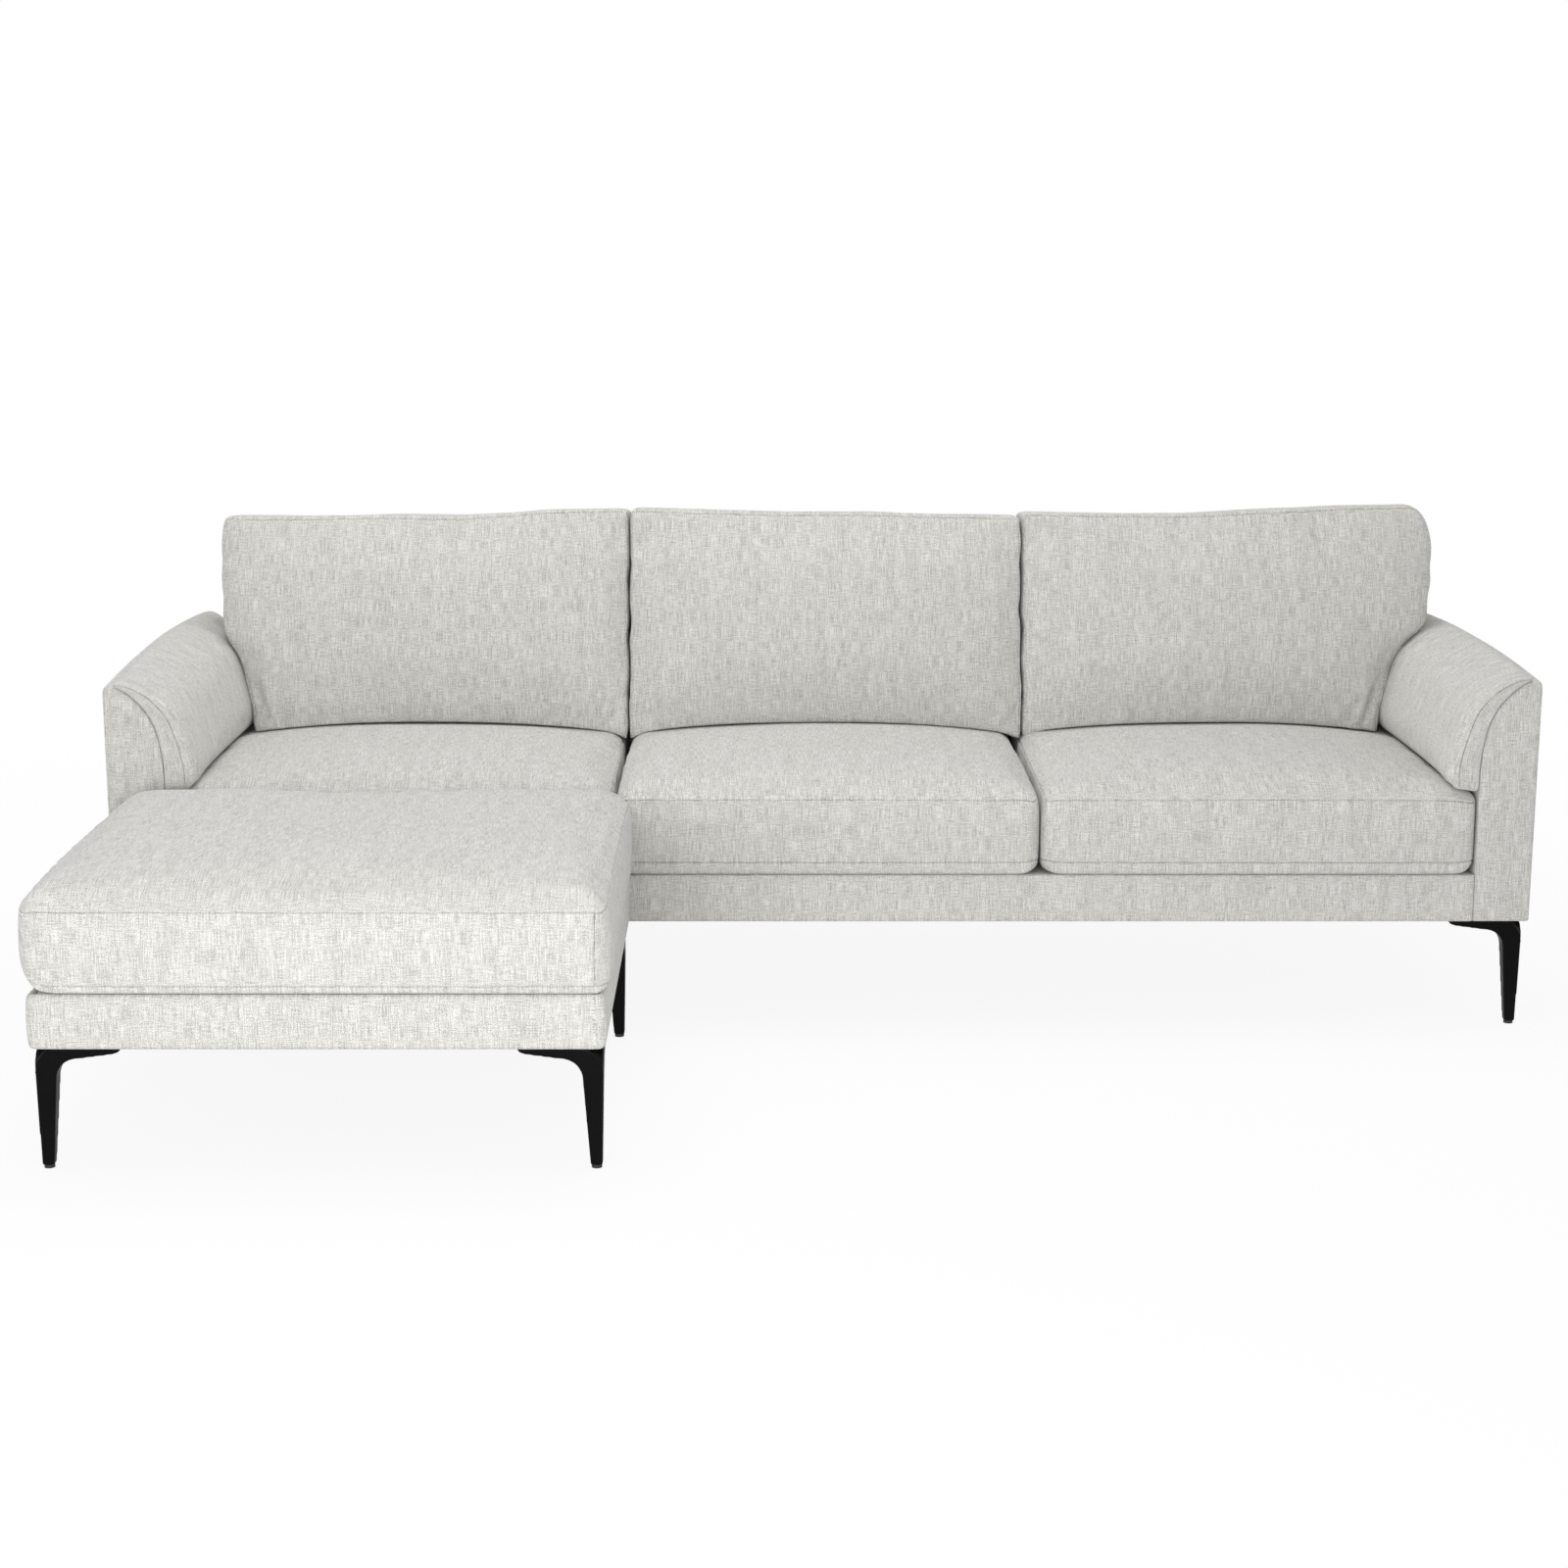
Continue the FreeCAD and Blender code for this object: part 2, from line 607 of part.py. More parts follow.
def seat_form(x0, x1, left, right):
    """Seat cushion whose left and right sides are free or under an arm."""
    y0 = -SEAT_PROUD
    y1 = INSIDE_BACK_Y - SEAT_BACK_GAP
    radius = SEAT_CORNER_RADIUS
    outline = [((x0, y0), radius, "front"), ((x1, y0), radius, right),
               ((x1, y1), radius, "rear"), ((x0, y1), radius, left)]
    outline = waisted(outline, SEAT_DRAW_IN, ("free", "under_arm"))
    return cushion_form(outline, SEAT_LAYERS, SEAT_THICKNESS, lying)


def back_form(outline):
    drawn = waisted(outline, BACK_DRAW_IN, ("bottom", "top"))
    return cushion_form(drawn, BACK_LAYERS, BACK_CUSHION_THICKNESS, leaning)


def middle_back_outline():
    low = BACK_CUSHION_Z
    radius = BACK_CORNER_RADIUS
    x0 = BACK_MIDDLE_LEFT + CUSHION_GAP / 2
    x1 = BACK_MIDDLE_RIGHT - CUSHION_GAP / 2
    return [((x0, low), radius, "bottom"), ((x1, low), radius, "side"),
            ((x1, BACK_MIDDLE_TOPS[1]), radius, "top"), ((x0, BACK_MIDDLE_TOPS[0]), radius, "side")]


def outer_back_outline(inner_x, outer_x, inner_top, outer_top):
    """Outline of a cushion whose lower outer corner is cut to clear the arm's pad."""
    low = BACK_CUSHION_Z
    radius = BACK_CORNER_RADIUS
    beside_arm = INNER - PAD_BOTTOM_THICKNESS - BACK_ARM_GAP
    over_arm = ARM_TOP + PAD_RISE + BACK_ARM_GAP
    return [((inner_x, low), radius, "bottom"), ((beside_arm, low), radius, "side"),
            ((beside_arm, over_arm), BACK_ARM_NOTCH_RADIUS, "over_arm"),
            ((outer_x, over_arm), radius, "side"), ((outer_x, outer_top), radius, "top"),
            ((inner_x, inner_top), radius, "side")]


def cushions():
    half_gap = CUSHION_GAP / 2
    end = INNER - SEAT_ARM_GAP
    left_gap, right_gap = SEAT_GAPS
    right_back = outer_back_outline(BACK_MIDDLE_RIGHT + half_gap, BACK_RIGHT_END, *BACK_RIGHT_TOPS)
    left_back = outer_back_outline(half_gap - BACK_MIDDLE_LEFT, -BACK_LEFT_END, *reversed(BACK_LEFT_TOPS))
    left_back_form = back_form(left_back)
    forms = {
        "seat_cushion_left": seat_form(-end, left_gap - half_gap, "under_arm", "free"),
        "seat_cushion_middle": seat_form(left_gap + half_gap, right_gap - half_gap, "free", "free"),
        "seat_cushion_right": seat_form(right_gap + half_gap, end, "free", "under_arm"),
        "back_cushion_left": lambda inset: mirrored_x(left_back_form(inset)),
        "back_cushion_middle": back_form(middle_back_outline()),
        "back_cushion_right": back_form(right_back),
    }
    parts = {}
    for name, form in forms.items():
        parts.update(cushion_pieces(name, form))
    return parts


# Legs

def leg_profile(to_space):
    """Boomerang outline of one side of a leg: tapered post, bend and thin wing."""
    top = LEG_HEIGHT
    crotch = POST_TOP + CROTCH_RADIUS
    shoulder = top - WING_ROOT
    slant = math.sqrt(0.5)
    foot_out = (POST_LEAN, GLIDE_HEIGHT)
    bend_low = (0.0, top - BEND_RADIUS)
    bend = (BEND_RADIUS * (1 - slant), top - BEND_RADIUS * (1 - slant))
    bend_high = (BEND_RADIUS, top)
    tip_high = (WING_LENGTH, top)
    tip_low = (WING_LENGTH, top - WING_TIP)
    root = (crotch, shoulder)
    crotch_middle = (crotch - CROTCH_RADIUS * slant, shoulder - CROTCH_RADIUS * (1 - slant))
    post_in = (POST_TOP, shoulder - CROTCH_RADIUS)
    foot_in = (POST_LEAN + POST_FOOT, GLIDE_HEIGHT)
    runs = [
        (foot_out, bend_low), (bend_low, bend, bend_high), (bend_high, tip_high), (tip_high, tip_low),
        (tip_low, root), (root, crotch_middle, post_in), (post_in, foot_in), (foot_in, foot_out),
    ]
    return outlined(runs, to_space)


def leg_strip():
    """The half of a leg whose wing runs along X, tapered in Y down the post."""
    strip = extruded(leg_profile(in_xz(0.0)), Vector(0, POST_TOP, 0))
    knee = LEG_HEIGHT - WING_ROOT - CROTCH_RADIUS
    taper = [
        (POST_LEAN, GLIDE_HEIGHT),
        (POST_LEAN + POST_FOOT, GLIDE_HEIGHT),
        (POST_TOP, knee),
        (POST_TOP, LEG_HEIGHT),
        (0.0, LEG_HEIGHT),
        (0.0, LEG_HEIGHT - BEND_RADIUS),
    ]
    return strip.common(prism_x(taper, 0.0, WING_LENGTH))


def leg():
    """Cast leg with its outer corner at the origin and wings along +X and +Y."""
    along_x = leg_strip()
    along_y = along_x.mirror(Vector(0, 0, 0), Vector(1, -1, 0))
    return along_x.fuse(along_y).removeSplitter()


def legs(prefix, x_sides, y_sides):
    parts = {}
    shape = leg()
    glides = []
    for (x, to_x), side in zip(x_sides, ("left", "right")):
        for (y, to_y), end in zip(y_sides, ("front", "back")):
            placed = shape if to_x > 0 else mirrored_x(shape)
            if to_y < 0:
                placed = placed.mirror(Vector(0, 0, 0), Vector(0, 1, 0))
            parts[prefix + "leg_" + end + "_" + side] = placed.translated(Vector(x, y, 0))
            foot = POST_LEAN + POST_FOOT / 2
            under_post = Vector(x + to_x * foot, y + to_y * foot, 0)
            glides.append(Part.makeCylinder(GLIDE_RADIUS, GLIDE_HEIGHT, under_post))
    parts[prefix + "leg_glides"] = Part.makeCompound(glides)
    return parts


# Footstool

def footstool():
    parts = {}
    left = STOOL_LEFT + PADDING
    right = STOOL_RIGHT - PADDING
    front = STOOL_FRONT + PADDING
    rear = STOOL_REAR - PADDING
    front_inner = front + RAIL_THICKNESS
    rear_inner = rear - RAIL_THICKNESS
    inner = (left + SIDE_RAIL_THICKNESS, right - SIDE_RAIL_THICKNESS)
    parts["footstool_front_rail"] = box(left, right, front, front_inner, RAIL_Z, RAIL_TOP)
    parts["footstool_rear_rail"] = box(left, right, rear_inner, rear, RAIL_Z, RAIL_TOP)
    parts["footstool_side_rail_left"] = box(left, inner[0], front_inner, rear_inner, RAIL_Z, RAIL_TOP)
    parts["footstool_side_rail_right"] = box(inner[1], right, front_inner, rear_inner, RAIL_Z, RAIL_TOP)
    parts["footstool_corner_blocks"] = corner_blocks(*inner, front_inner, rear_inner)
    along = straps_along(evenly(STOOL_WEB_COUNT_LONG, *inner), front, rear)
    across = straps_across(evenly(STOOL_WEB_COUNT_CROSS, front_inner, rear_inner), left, right)
    parts["footstool_webbing"] = Part.makeCompound(along + across)
    parts["footstool_deck"] = box(left, right, front, rear, WEB_TOP, DECK_TOP)
    parts["footstool_dust_cover"] = box(left, right, front, rear, LEG_HEIGHT, RAIL_Z)
    parts["footstool_border_front"] = border(STOOL_LEFT, STOOL_RIGHT, front, STOOL_FRONT)
    parts["footstool_border_rear"] = border(STOOL_LEFT, STOOL_RIGHT, rear, STOOL_REAR)
    for name, x_rail, x_face in (("left", left, STOOL_LEFT), ("right", right, STOOL_RIGHT)):
        strip = border(-rear, -front, x_rail, x_face)
        parts["footstool_border_" + name] = strip.rotated(Vector(0, 0, 0), Vector(0, 0, 1), -90)
    parts.update(cushion_pieces("footstool_cushion", stool_form()))
    parts.update(legs("footstool_", STOOL_LEG_X, STOOL_LEG_Y))
    return parts


def stool_form():
    """Footstool cushion, crowned all over."""
    proud = STOOL_CUSHION_PROUD
    x0 = STOOL_LEFT - proud
    x1 = STOOL_RIGHT + proud
    y0 = STOOL_FRONT - proud
    y1 = STOOL_REAR + proud
    outline = [(corner, STOOL_CORNER_RADIUS, "all") for corner in ((x0, y0), (x1, y0), (x1, y1), (x0, y1))]
    outline = waisted(outline, STOOL_DRAW_IN, ("all",))
    return cushion_form(outline, STOOL_LAYERS, STOOL_CUSHION_THICKNESS, lying)


def sofa():
    parts = {}
    parts.update(seat_frame())
    parts.update(back_frame())
    parts.update(arms())
    parts.update(cushions())
    parts.update(legs("", SOFA_LEG_X, SOFA_LEG_Y))
    parts.update(footstool())
    return parts


def main():
    parts = sofa()
    front = parts["footstool_cushion_cover"].BoundBox.YMin
    rear = parts["outside_back"].BoundBox.YMax
    middle = Vector(0, (front + rear) / 2, 0)
    os.makedirs("parts", exist_ok=True)
    for name, shape in parts.items():
        shape.translated(-middle).exportStep("parts/" + name + ".step")
    print(len(parts), "pieces; front of the arms at Y", round(-middle.y, 3))


main()
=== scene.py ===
import math

import bpy
import bmesh
import numpy as np
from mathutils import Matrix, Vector, noise


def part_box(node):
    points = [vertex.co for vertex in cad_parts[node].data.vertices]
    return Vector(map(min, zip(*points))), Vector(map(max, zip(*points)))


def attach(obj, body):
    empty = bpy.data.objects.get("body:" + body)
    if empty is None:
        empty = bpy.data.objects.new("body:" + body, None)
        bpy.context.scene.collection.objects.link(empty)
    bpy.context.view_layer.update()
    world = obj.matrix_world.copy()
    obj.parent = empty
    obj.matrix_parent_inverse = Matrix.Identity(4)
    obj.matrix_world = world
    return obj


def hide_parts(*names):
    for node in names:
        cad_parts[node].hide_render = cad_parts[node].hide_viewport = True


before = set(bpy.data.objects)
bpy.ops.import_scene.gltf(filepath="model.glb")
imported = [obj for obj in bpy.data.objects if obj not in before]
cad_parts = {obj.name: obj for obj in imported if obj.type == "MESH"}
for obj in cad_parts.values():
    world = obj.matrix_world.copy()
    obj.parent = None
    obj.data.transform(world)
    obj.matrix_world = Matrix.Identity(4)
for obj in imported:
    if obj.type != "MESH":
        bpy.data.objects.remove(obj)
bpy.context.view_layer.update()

# A three-seater sofa with its footstool: sewn covers in place of the frame's, cast legs and a studio

# Sizes of the sofa, in metres
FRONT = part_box("front_border")[0].y
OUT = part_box("arm_shell_right")[1].x
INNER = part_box("front_border")[1].x
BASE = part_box("front_border")[0].z
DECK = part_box("front_border")[1].z
BACK_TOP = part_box("inside_back")[1].z
INSIDE_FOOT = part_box("inside_back")[0].y
INSIDE_RAKE = math.radians(9.8)
INSIDE_SLOPE = math.tan(INSIDE_RAKE)
OUTSIDE_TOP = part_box("outside_back")[1].y
OUTSIDE_LEAN = 0.06
OUTSIDE_SLOPE = OUTSIDE_LEAN / (BACK_TOP - BASE)
ARM_DEPTH = 0.9
ARM_CROWN = 0.016
ARM_SPRING = 0.40
ARM_CREST = 0.606
PADDING = 0.014
BACK_PADDING = 0.020

# Section of the right arm at its front: its own curve from foot to crest, then the pad's
# underside and face from the crest down to the seat
ARM_CURVE = ((1.1280, 0.446), (1.1305, 0.490), (1.1390, 0.530), (1.1560, 0.564),
             (1.1830, 0.593), (1.2040, 0.607), (1.2285, 0.613))
PAD_UNDER = ((1.2060, 0.6085), (1.1830, 0.5945), (1.1560, 0.5655), (1.1390, 0.5315),
             (1.1304, 0.4900), (1.1276, 0.4600), (1.1274, 0.4240))
PAD_FACE = ((1.2070, 0.6135), (1.1800, 0.6110), (1.1420, 0.5940), (1.1090, 0.5600),
            (1.0900, 0.5150), (1.0770, 0.4700), (1.0725, 0.4240))

# Seams: half the width of a crease, how far out its cloth is drawn in, its depth, and how close
# to its lines other lines of a panel may come
SEAM_SIDE = 0.0011
SEAM_REACH = 0.0042
SEAM_DEPTH = 0.0058
CLOSEST_LINES = 0.0055

# Cloth: the pitch of its threads, and each yarn's repeats in a metre across and along, with the
# detail and roughness of its noise; then what the yarns add to the tone and to the relief
THREAD = 0.0034
THREAD_WANDER = 0.003
YARNS = {
    "upright": (640.0, 36.0, 1.0, 0.5),
    "level": (46.0, 700.0, 1.0, 0.5),
    "nub": (780.0, 700.0, 1.0, 0.5),
    "bars": (70.0, 6.0, 2.0, 0.6),
    "fleck": (520.0, 160.0, 1.0, 0.55),
    "hair": (40.0, 520.0, 1.0, 0.55),
}
TONES = {"upright": 1.10, "level": 0.75, "nub": 2.0, "bars": 0.35}
RELIEF = {"upright": 0.9, "level": 0.7, "nub": 0.8}
WEB_TURN = 2500.0

# Steps along the cloth between the places where pieces, and the panels of a piece, are cut from it
PIECE_SHIFT = 0.173
PANEL_SHIFT = 1.7

# Filling: how a cover stretches while it is blown up
FILL_FRAMES = 14
FILL_SETTINGS = {
    "quality": 4, "mass": 0.3, "tension_stiffness": 20, "compression_stiffness": 20,
    "shear_stiffness": 8, "bending_stiffness": 1.5, "shrink_min": -0.012,
    "vertex_group_mass": "held", "use_pressure": True,
}


# Finishes

class Link:
    """One output of a finish's nodes, for use in plain sums."""

    def __init__(self, finish, socket):
        self.finish = finish
        self.socket = socket

    def sum(self, operation, first, second=0.0):
        return self.finish.node("ShaderNodeMath", {"operation": operation}, {0: first, 1: second})

    def __add__(self, other):
        return self.sum("ADD", self, other)

    def __sub__(self, other):
        return self.sum("SUBTRACT", self, other)

    def __rsub__(self, other):
        return self.sum("SUBTRACT", other, self)

    def __mul__(self, other):
        return self.sum("MULTIPLY", self, other)

    __radd__ = __add__
    __rmul__ = __mul__


class Finish:
    """A set of shader nodes: a material's or the world's."""

    def __init__(self, owner):
        owner.use_nodes = True
        self.owner = owner
        self.tree = owner.node_tree

    def feed(self, socket, value):
        if isinstance(value, Link):
            self.tree.links.new(value.socket, socket)
        else:
            socket.default_value = value

    def node(self, kind, settings=None, sockets=None, output=0):
        node = self.tree.nodes.new(kind)
        for key, value in (settings or {}).items():
            if key == "stops":
                ramp = node.color_ramp
                while len(ramp.elements) < len(value):
                    ramp.elements.new(1.0)
                for element, (place, colour) in zip(ramp.elements, value):
                    element.position = place
                    element.color = colour
            else:
                setattr(node, key, value)
        for key, value in (sockets or {}).items():
            self.feed(node.inputs[key], value)
        return Link(self, node.outputs[output])

    def mix(self, share, first, second):
        return self.node("ShaderNodeMix", {"data_type": "RGBA"}, {0: share, 6: first, 7: second}, 2)

    def grain(self, vector, scale, detail=2.0, rough=0.5):
        sockets = {"Vector": vector, "Scale": scale, "Detail": detail, "Roughness": rough}
        return self.node("ShaderNodeTexNoise", None, sockets)

    def stretched(self, vector, across, along, up=1.0):
        sockets = {0: vector, 1: (across, along, up)}
        return self.node("ShaderNodeVectorMath", {"operation": "MULTIPLY"}, sockets)

    def ramp(self, share, *stops):
        return self.node("ShaderNodeValToRGB", {"stops": stops}, {0: share})

    def between(self, value, low, high):
        """How far a value lies from low to high, kept within 0 and 1."""
        sockets = {0: value, 1: low, 2: high}
        return self.node("ShaderNodeMapRange", {"interpolation_type": "SMOOTHSTEP"}, sockets)

    def part(self, vector, axis):
        """One of the three numbers of a vector."""
        return self.node("ShaderNodeSeparateXYZ", None, {0: vector}, axis)

    def wave(self, angle):
        return self.node("ShaderNodeMath", {"operation": "SINE"}, {0: angle})

    def surface(self, constants, **varying):
        shader = self.tree.nodes["Principled BSDF"]
        for key, value in constants.items():
            shader.inputs[key].default_value = value
        for key, value in varying.items():
            self.feed(shader.inputs[key.replace("_", " ")], value)
        return self.owner

    def raised(self, height, strength, distance):
        sockets = {"Strength": strength, "Distance": distance, "Height": height}
        return self.node("ShaderNodeBump", None, sockets)


def rgb(red, green, blue):
    """A colour as it is seen, 0 to 255, in linear light."""
    parts = [v / 255 for v in (red, green, blue)]
    return tuple(v / 12.92 if v <= 0.04045 else ((v + 0.055) / 1.055) ** 2.4 for v in parts) + (1.0,)


def new_finish(name):
    return Finish(bpy.data.materials.new(name))


def oatmeal_weave():
    """Heathered upholstery cloth: slubby warp, finer weft, nubs and a few cool flecks."""
    cloth = new_finish("oatmeal_weave")
    place = cloth.node("ShaderNodeUVMap", {"uv_map": "cloth"})
    yarn = {name: cloth.grain(cloth.stretched(place, across, along), 1.0, detail, rough)
            for name, (across, along, detail, rough) in YARNS.items()}
    cloud = cloth.grain(place, 28.0, 3.0)
    wander = cloth.grain(place, 70.0, 2.0) * THREAD_WANDER
    turn = 2 * math.pi / THREAD
    warp = cloth.wave((cloth.part(place, 0) + wander) * turn)
    weft = cloth.wave((cloth.part(place, 1) + wander) * turn)
    basket = warp * weft
    tone = 0.5 + (cloud - 0.5) * 0.08 + basket * 0.05
    for name, weight in TONES.items():
        tone = tone + (yarn[name] - 0.5) * weight
    colour = cloth.ramp(tone, (0.16, rgb(163, 162, 157)), (0.38, rgb(191, 190, 185)),
                        (0.52, rgb(205, 204, 199)), (0.66, rgb(216, 215, 211)),
                        (0.86, rgb(229, 228, 225)))
    fleck = cloth.between(yarn["fleck"], 0.60, 0.72)
    colour = cloth.mix(fleck * 0.45, colour, rgb(150, 150, 147))
    hair = cloth.between(yarn["hair"], 0.64, 0.72)
    colour = cloth.mix(hair * 0.35, colour, rgb(146, 144, 138))
    height = basket * 0.30
    for name, weight in RELIEF.items():
        height = height + yarn[name] * weight
    return cloth.surface(
        {"Sheen Weight": 0.25, "Sheen Roughness": 0.4, "Specular IOR Level": 0.25},
        Base_Color=colour, Roughness=0.97 - 0.12 * tone, Normal=cloth.raised(height, 0.45, 0.0014))


def black_casting():
    """Satin black powder coat on cast metal."""
    coat = new_finish("black_casting")
    place = coat.node("ShaderNodeTexCoord", output="Object")
    orange_peel = coat.grain(place, 900.0, 2.0)
    cast = coat.grain(place, 60.0, 3.0)
    rub = coat.between(coat.grain(place, 25.0, 4.0, 0.7), 0.55, 0.75)
    colour = coat.mix(rub * 0.5, rgb(6, 6, 7), rgb(14, 14, 15))
    height = orange_peel * 0.6 + cast * 0.7
    return coat.surface(
        {"Specular IOR Level": 0.07, "Coat Roughness": 0.25},
        Base_Color=colour, Roughness=0.34 + 0.14 * cast, Coat_Weight=0.01 + 0.01 * rub,
        Normal=coat.raised(height, 0.25, 0.0006))


def frame_timber():
    """Sawn softwood and ply of the hidden frame."""
    wood = new_finish("frame_timber")
    place = wood.node("ShaderNodeTexCoord", output="Object")
    grain = wood.grain(wood.stretched(place, 3.0, 60.0, 60.0), 1.0, 4.0, 0.6)
    pores = wood.grain(wood.stretched(place, 20.0, 700.0, 700.0), 1.0, 2.0)
    shade = (grain - 0.5) * 1.6 + (pores - 0.5) * 0.6 + 0.5
    colour = wood.ramp(shade, (0.1, rgb(150, 112, 70)), (0.5, rgb(198, 162, 114)),
                       (0.9, rgb(222, 194, 150)))
    return wood.surface({}, Base_Color=colour, Roughness=0.62 + 0.2 * pores,
                        Normal=wood.raised(pores + grain, 0.3, 0.0008))


def brown_webbing():
    """Elastic seat webbing with ribs across it."""
    web = new_finish("brown_webbing")
    place = web.node("ShaderNodeTexCoord", output="Object")
    ribs = web.wave(web.part(place, 1) * WEB_TURN)
    cords = web.wave(web.part(place, 0) * WEB_TURN)
    fuzz = web.grain(place, 400.0, 2.0)
    shade = ribs * cords * 0.25 + fuzz
    colour = web.ramp(shade, (0.2, rgb(52, 44, 38)), (0.8, rgb(110, 96, 82)))
    return web.surface({}, Base_Color=colour, Roughness=0.8 + 0.1 * fuzz,
                       Normal=web.raised(shade, 0.4, 0.001))


def spun_lining(name, dark, pale):
    """Spun lining cloth with its dimpled bonding points."""
    felt = new_finish(name)
    place = felt.node("ShaderNodeTexCoord", output="Object")
    fibre = felt.grain(felt.stretched(place, 260.0, 90.0, 260.0), 1.0, 4.0, 0.7)
    points = felt.node("ShaderNodeTexVoronoi", None, {"Vector": place, "Scale": 420.0})
    pressed = felt.between(points, 0.0, 0.35)
    colour = felt.mix(fibre, dark, pale)
    return felt.surface({}, Base_Color=colour, Roughness=0.85 + 0.1 * fibre,
                        Normal=felt.raised(pressed + fibre * 0.6, 0.35, 0.0006))


def glide_plastic():
    """Moulded black glides, scuffed where they meet the floor."""
    plastic = new_finish("glide_plastic")
    place = plastic.node("ShaderNodeTexCoord", output="Object")
    scuff = plastic.grain(place, 300.0, 4.0, 0.7)
    colour = plastic.mix(plastic.between(scuff, 0.5, 0.7), rgb(24, 24, 24), rgb(58, 57, 55))
    return plastic.surface({}, Base_Color=colour, Roughness=0.45 + 0.3 * scuff,
                           Normal=plastic.raised(scuff, 0.2, 0.0005))


WEAVE = oatmeal_weave()
CASTING = black_casting()
TIMBER = frame_timber()
WEBBING = brown_webbing()
DUST_LINING = spun_lining("dust_lining", rgb(30, 30, 31), rgb(48, 48, 49))
DECK_LINING = spun_lining("deck_lining", rgb(168, 164, 156), rgb(192, 188, 181))
GLIDE = glide_plastic()


# Covers

NEAR = 1e-6
ON_LINE = 1e-5


def along_curve(points, share):
    """A point of a smooth line through points, at a share of its length."""
    points = [np.array(p) for p in points]
    spans = [np.linalg.norm(b - a) for a, b in zip(points, points[1:])]
    reach = share * sum(spans)
    index = 0
    while index < len(spans) - 1 and reach > spans[index]:
        reach -= spans[index]
        index += 1
    t = min(1.0, reach / spans[index])
    b, c = points[index], points[index + 1]
    a = points[index - 1] if index else 2 * b - c
    d = points[index + 2] if index + 2 < len(points) else 2 * c - b
    bend, twist = 2 * a - 5 * b + 4 * c - d, 3 * b - a - 3 * c + d
    return 0.5 * (2 * b + (c - a) * t + bend * t ** 2 + twist * t ** 3)


def lines(length, step, marks=()):
    """Lines across a panel, as shares of its length: even ones and those beside its seams."""
    count = max(2, round(length / step))
    drawn = [(mark if mark >= 0 else length + mark) / length for mark in marks]
    places = [0.0, 1.0] + drawn
    for i in range(1, count):
        if all(abs(i / count - share) * length > CLOSEST_LINES for share in drawn):
            places.append(i / count)
    return sorted(places)


def seam_marks(*places):
    """Marks for the lines of seams, each with its crease and the cloth that it draws in."""
    marks = []
    for place in places:
        marks += [place + side for side in (-SEAM_REACH, -SEAM_SIDE, 0.0, SEAM_SIDE, SEAM_REACH)]
    return marks


FIRST_EDGE = (SEAM_SIDE, SEAM_REACH)
LAST_EDGE = (-SEAM_REACH, -SEAM_SIDE)
FOLD_START = 0.12
FOLD_RIDGE = 0.55
FOLD_RIDGE_AWAY = 1.7


def eased(shares, size, edges):
    """Draws the edges of a block in to their radii, in shares of its size.

    For each pair of axes, radii holds those at the low and at the high end of the first axis,
    and each of these two the radius at the low and at the high end of the second.
    """
    place = [(s - 0.5) * d for s, d in zip(shares, size)]
    for (i, j), radii in edges:
        radius = radii[place[i] > 0][place[j] > 0]
        over_i = abs(place[i]) - size[i] / 2 + radius
        over_j = abs(place[j]) - size[j] / 2 + radius
        if radius > 0 and over_i > 0 and over_j > 0:
            s, t = over_i / radius, over_j / radius
            reach_i = size[i] / 2 - radius + radius * s * math.sqrt(1 - t * t / 2)
            reach_j = size[j] / 2 - radius + radius * t * math.sqrt(1 - s * s / 2)
            place[i] = math.copysign(reach_i, place[i])
            place[j] = math.copysign(reach_j, place[j])
    return [p / d + 0.5 for p, d in zip(place, size)]


def all_edges(radius):
    return ((radius, radius), (radius, radius))


def cover(name, across, along, up, size, place, warp_across=False, ways=(0, 1, 2)):
    """Closed cloth cover over a block of lines, with cloth coordinates in metres on each panel.

    The cloth follows the axes that ways gives, or, with warp_across, the block's own lines.
    """
    counts = [len(across) - 1, len(along) - 1, len(up) - 1]
    shares = []
    points = []
    numbers = {}

    def number(i, j, k):
        if (i, j, k) not in numbers:
            numbers[i, j, k] = len(points)
            shares.append((across[i], along[j], up[k]))
            points.append(place(across[i], along[j], up[k]))
        return numbers[i, j, k]

    def spread(vertex, axis):
        if warp_across:
            return shares[vertex][axis] * size[axis]
        return points[vertex][ways[axis]]

    faces = []
    cloth = []
    shift = sum(ord(letter) for letter in name) * PIECE_SHIFT
    for axis in range(3):
        first, second = [(1, 2), (0, 2), (0, 1)][axis]
        if warp_across and first == 0:
            first, second = second, first
        for end in (0, counts[axis]):
            for m in range(counts[first]):
                for n in range(counts[second]):
                    ring = []
                    for dm, dn in ((0, 0), (1, 0), (1, 1), (0, 1)):
                        spot = [0, 0, 0]
                        spot[axis] = end
                        spot[first] = m + dm
                        spot[second] = n + dn
                        ring.append(number(*spot))
                    faces.append(ring)
                    side = axis * 2 + (end > 0)
                    cloth.append([(spread(v, first) + shift + side * PANEL_SHIFT,
                                   spread(v, second) + shift) for v in ring])
    return mesh_piece(name, points, faces, cloth), np.array(shares)


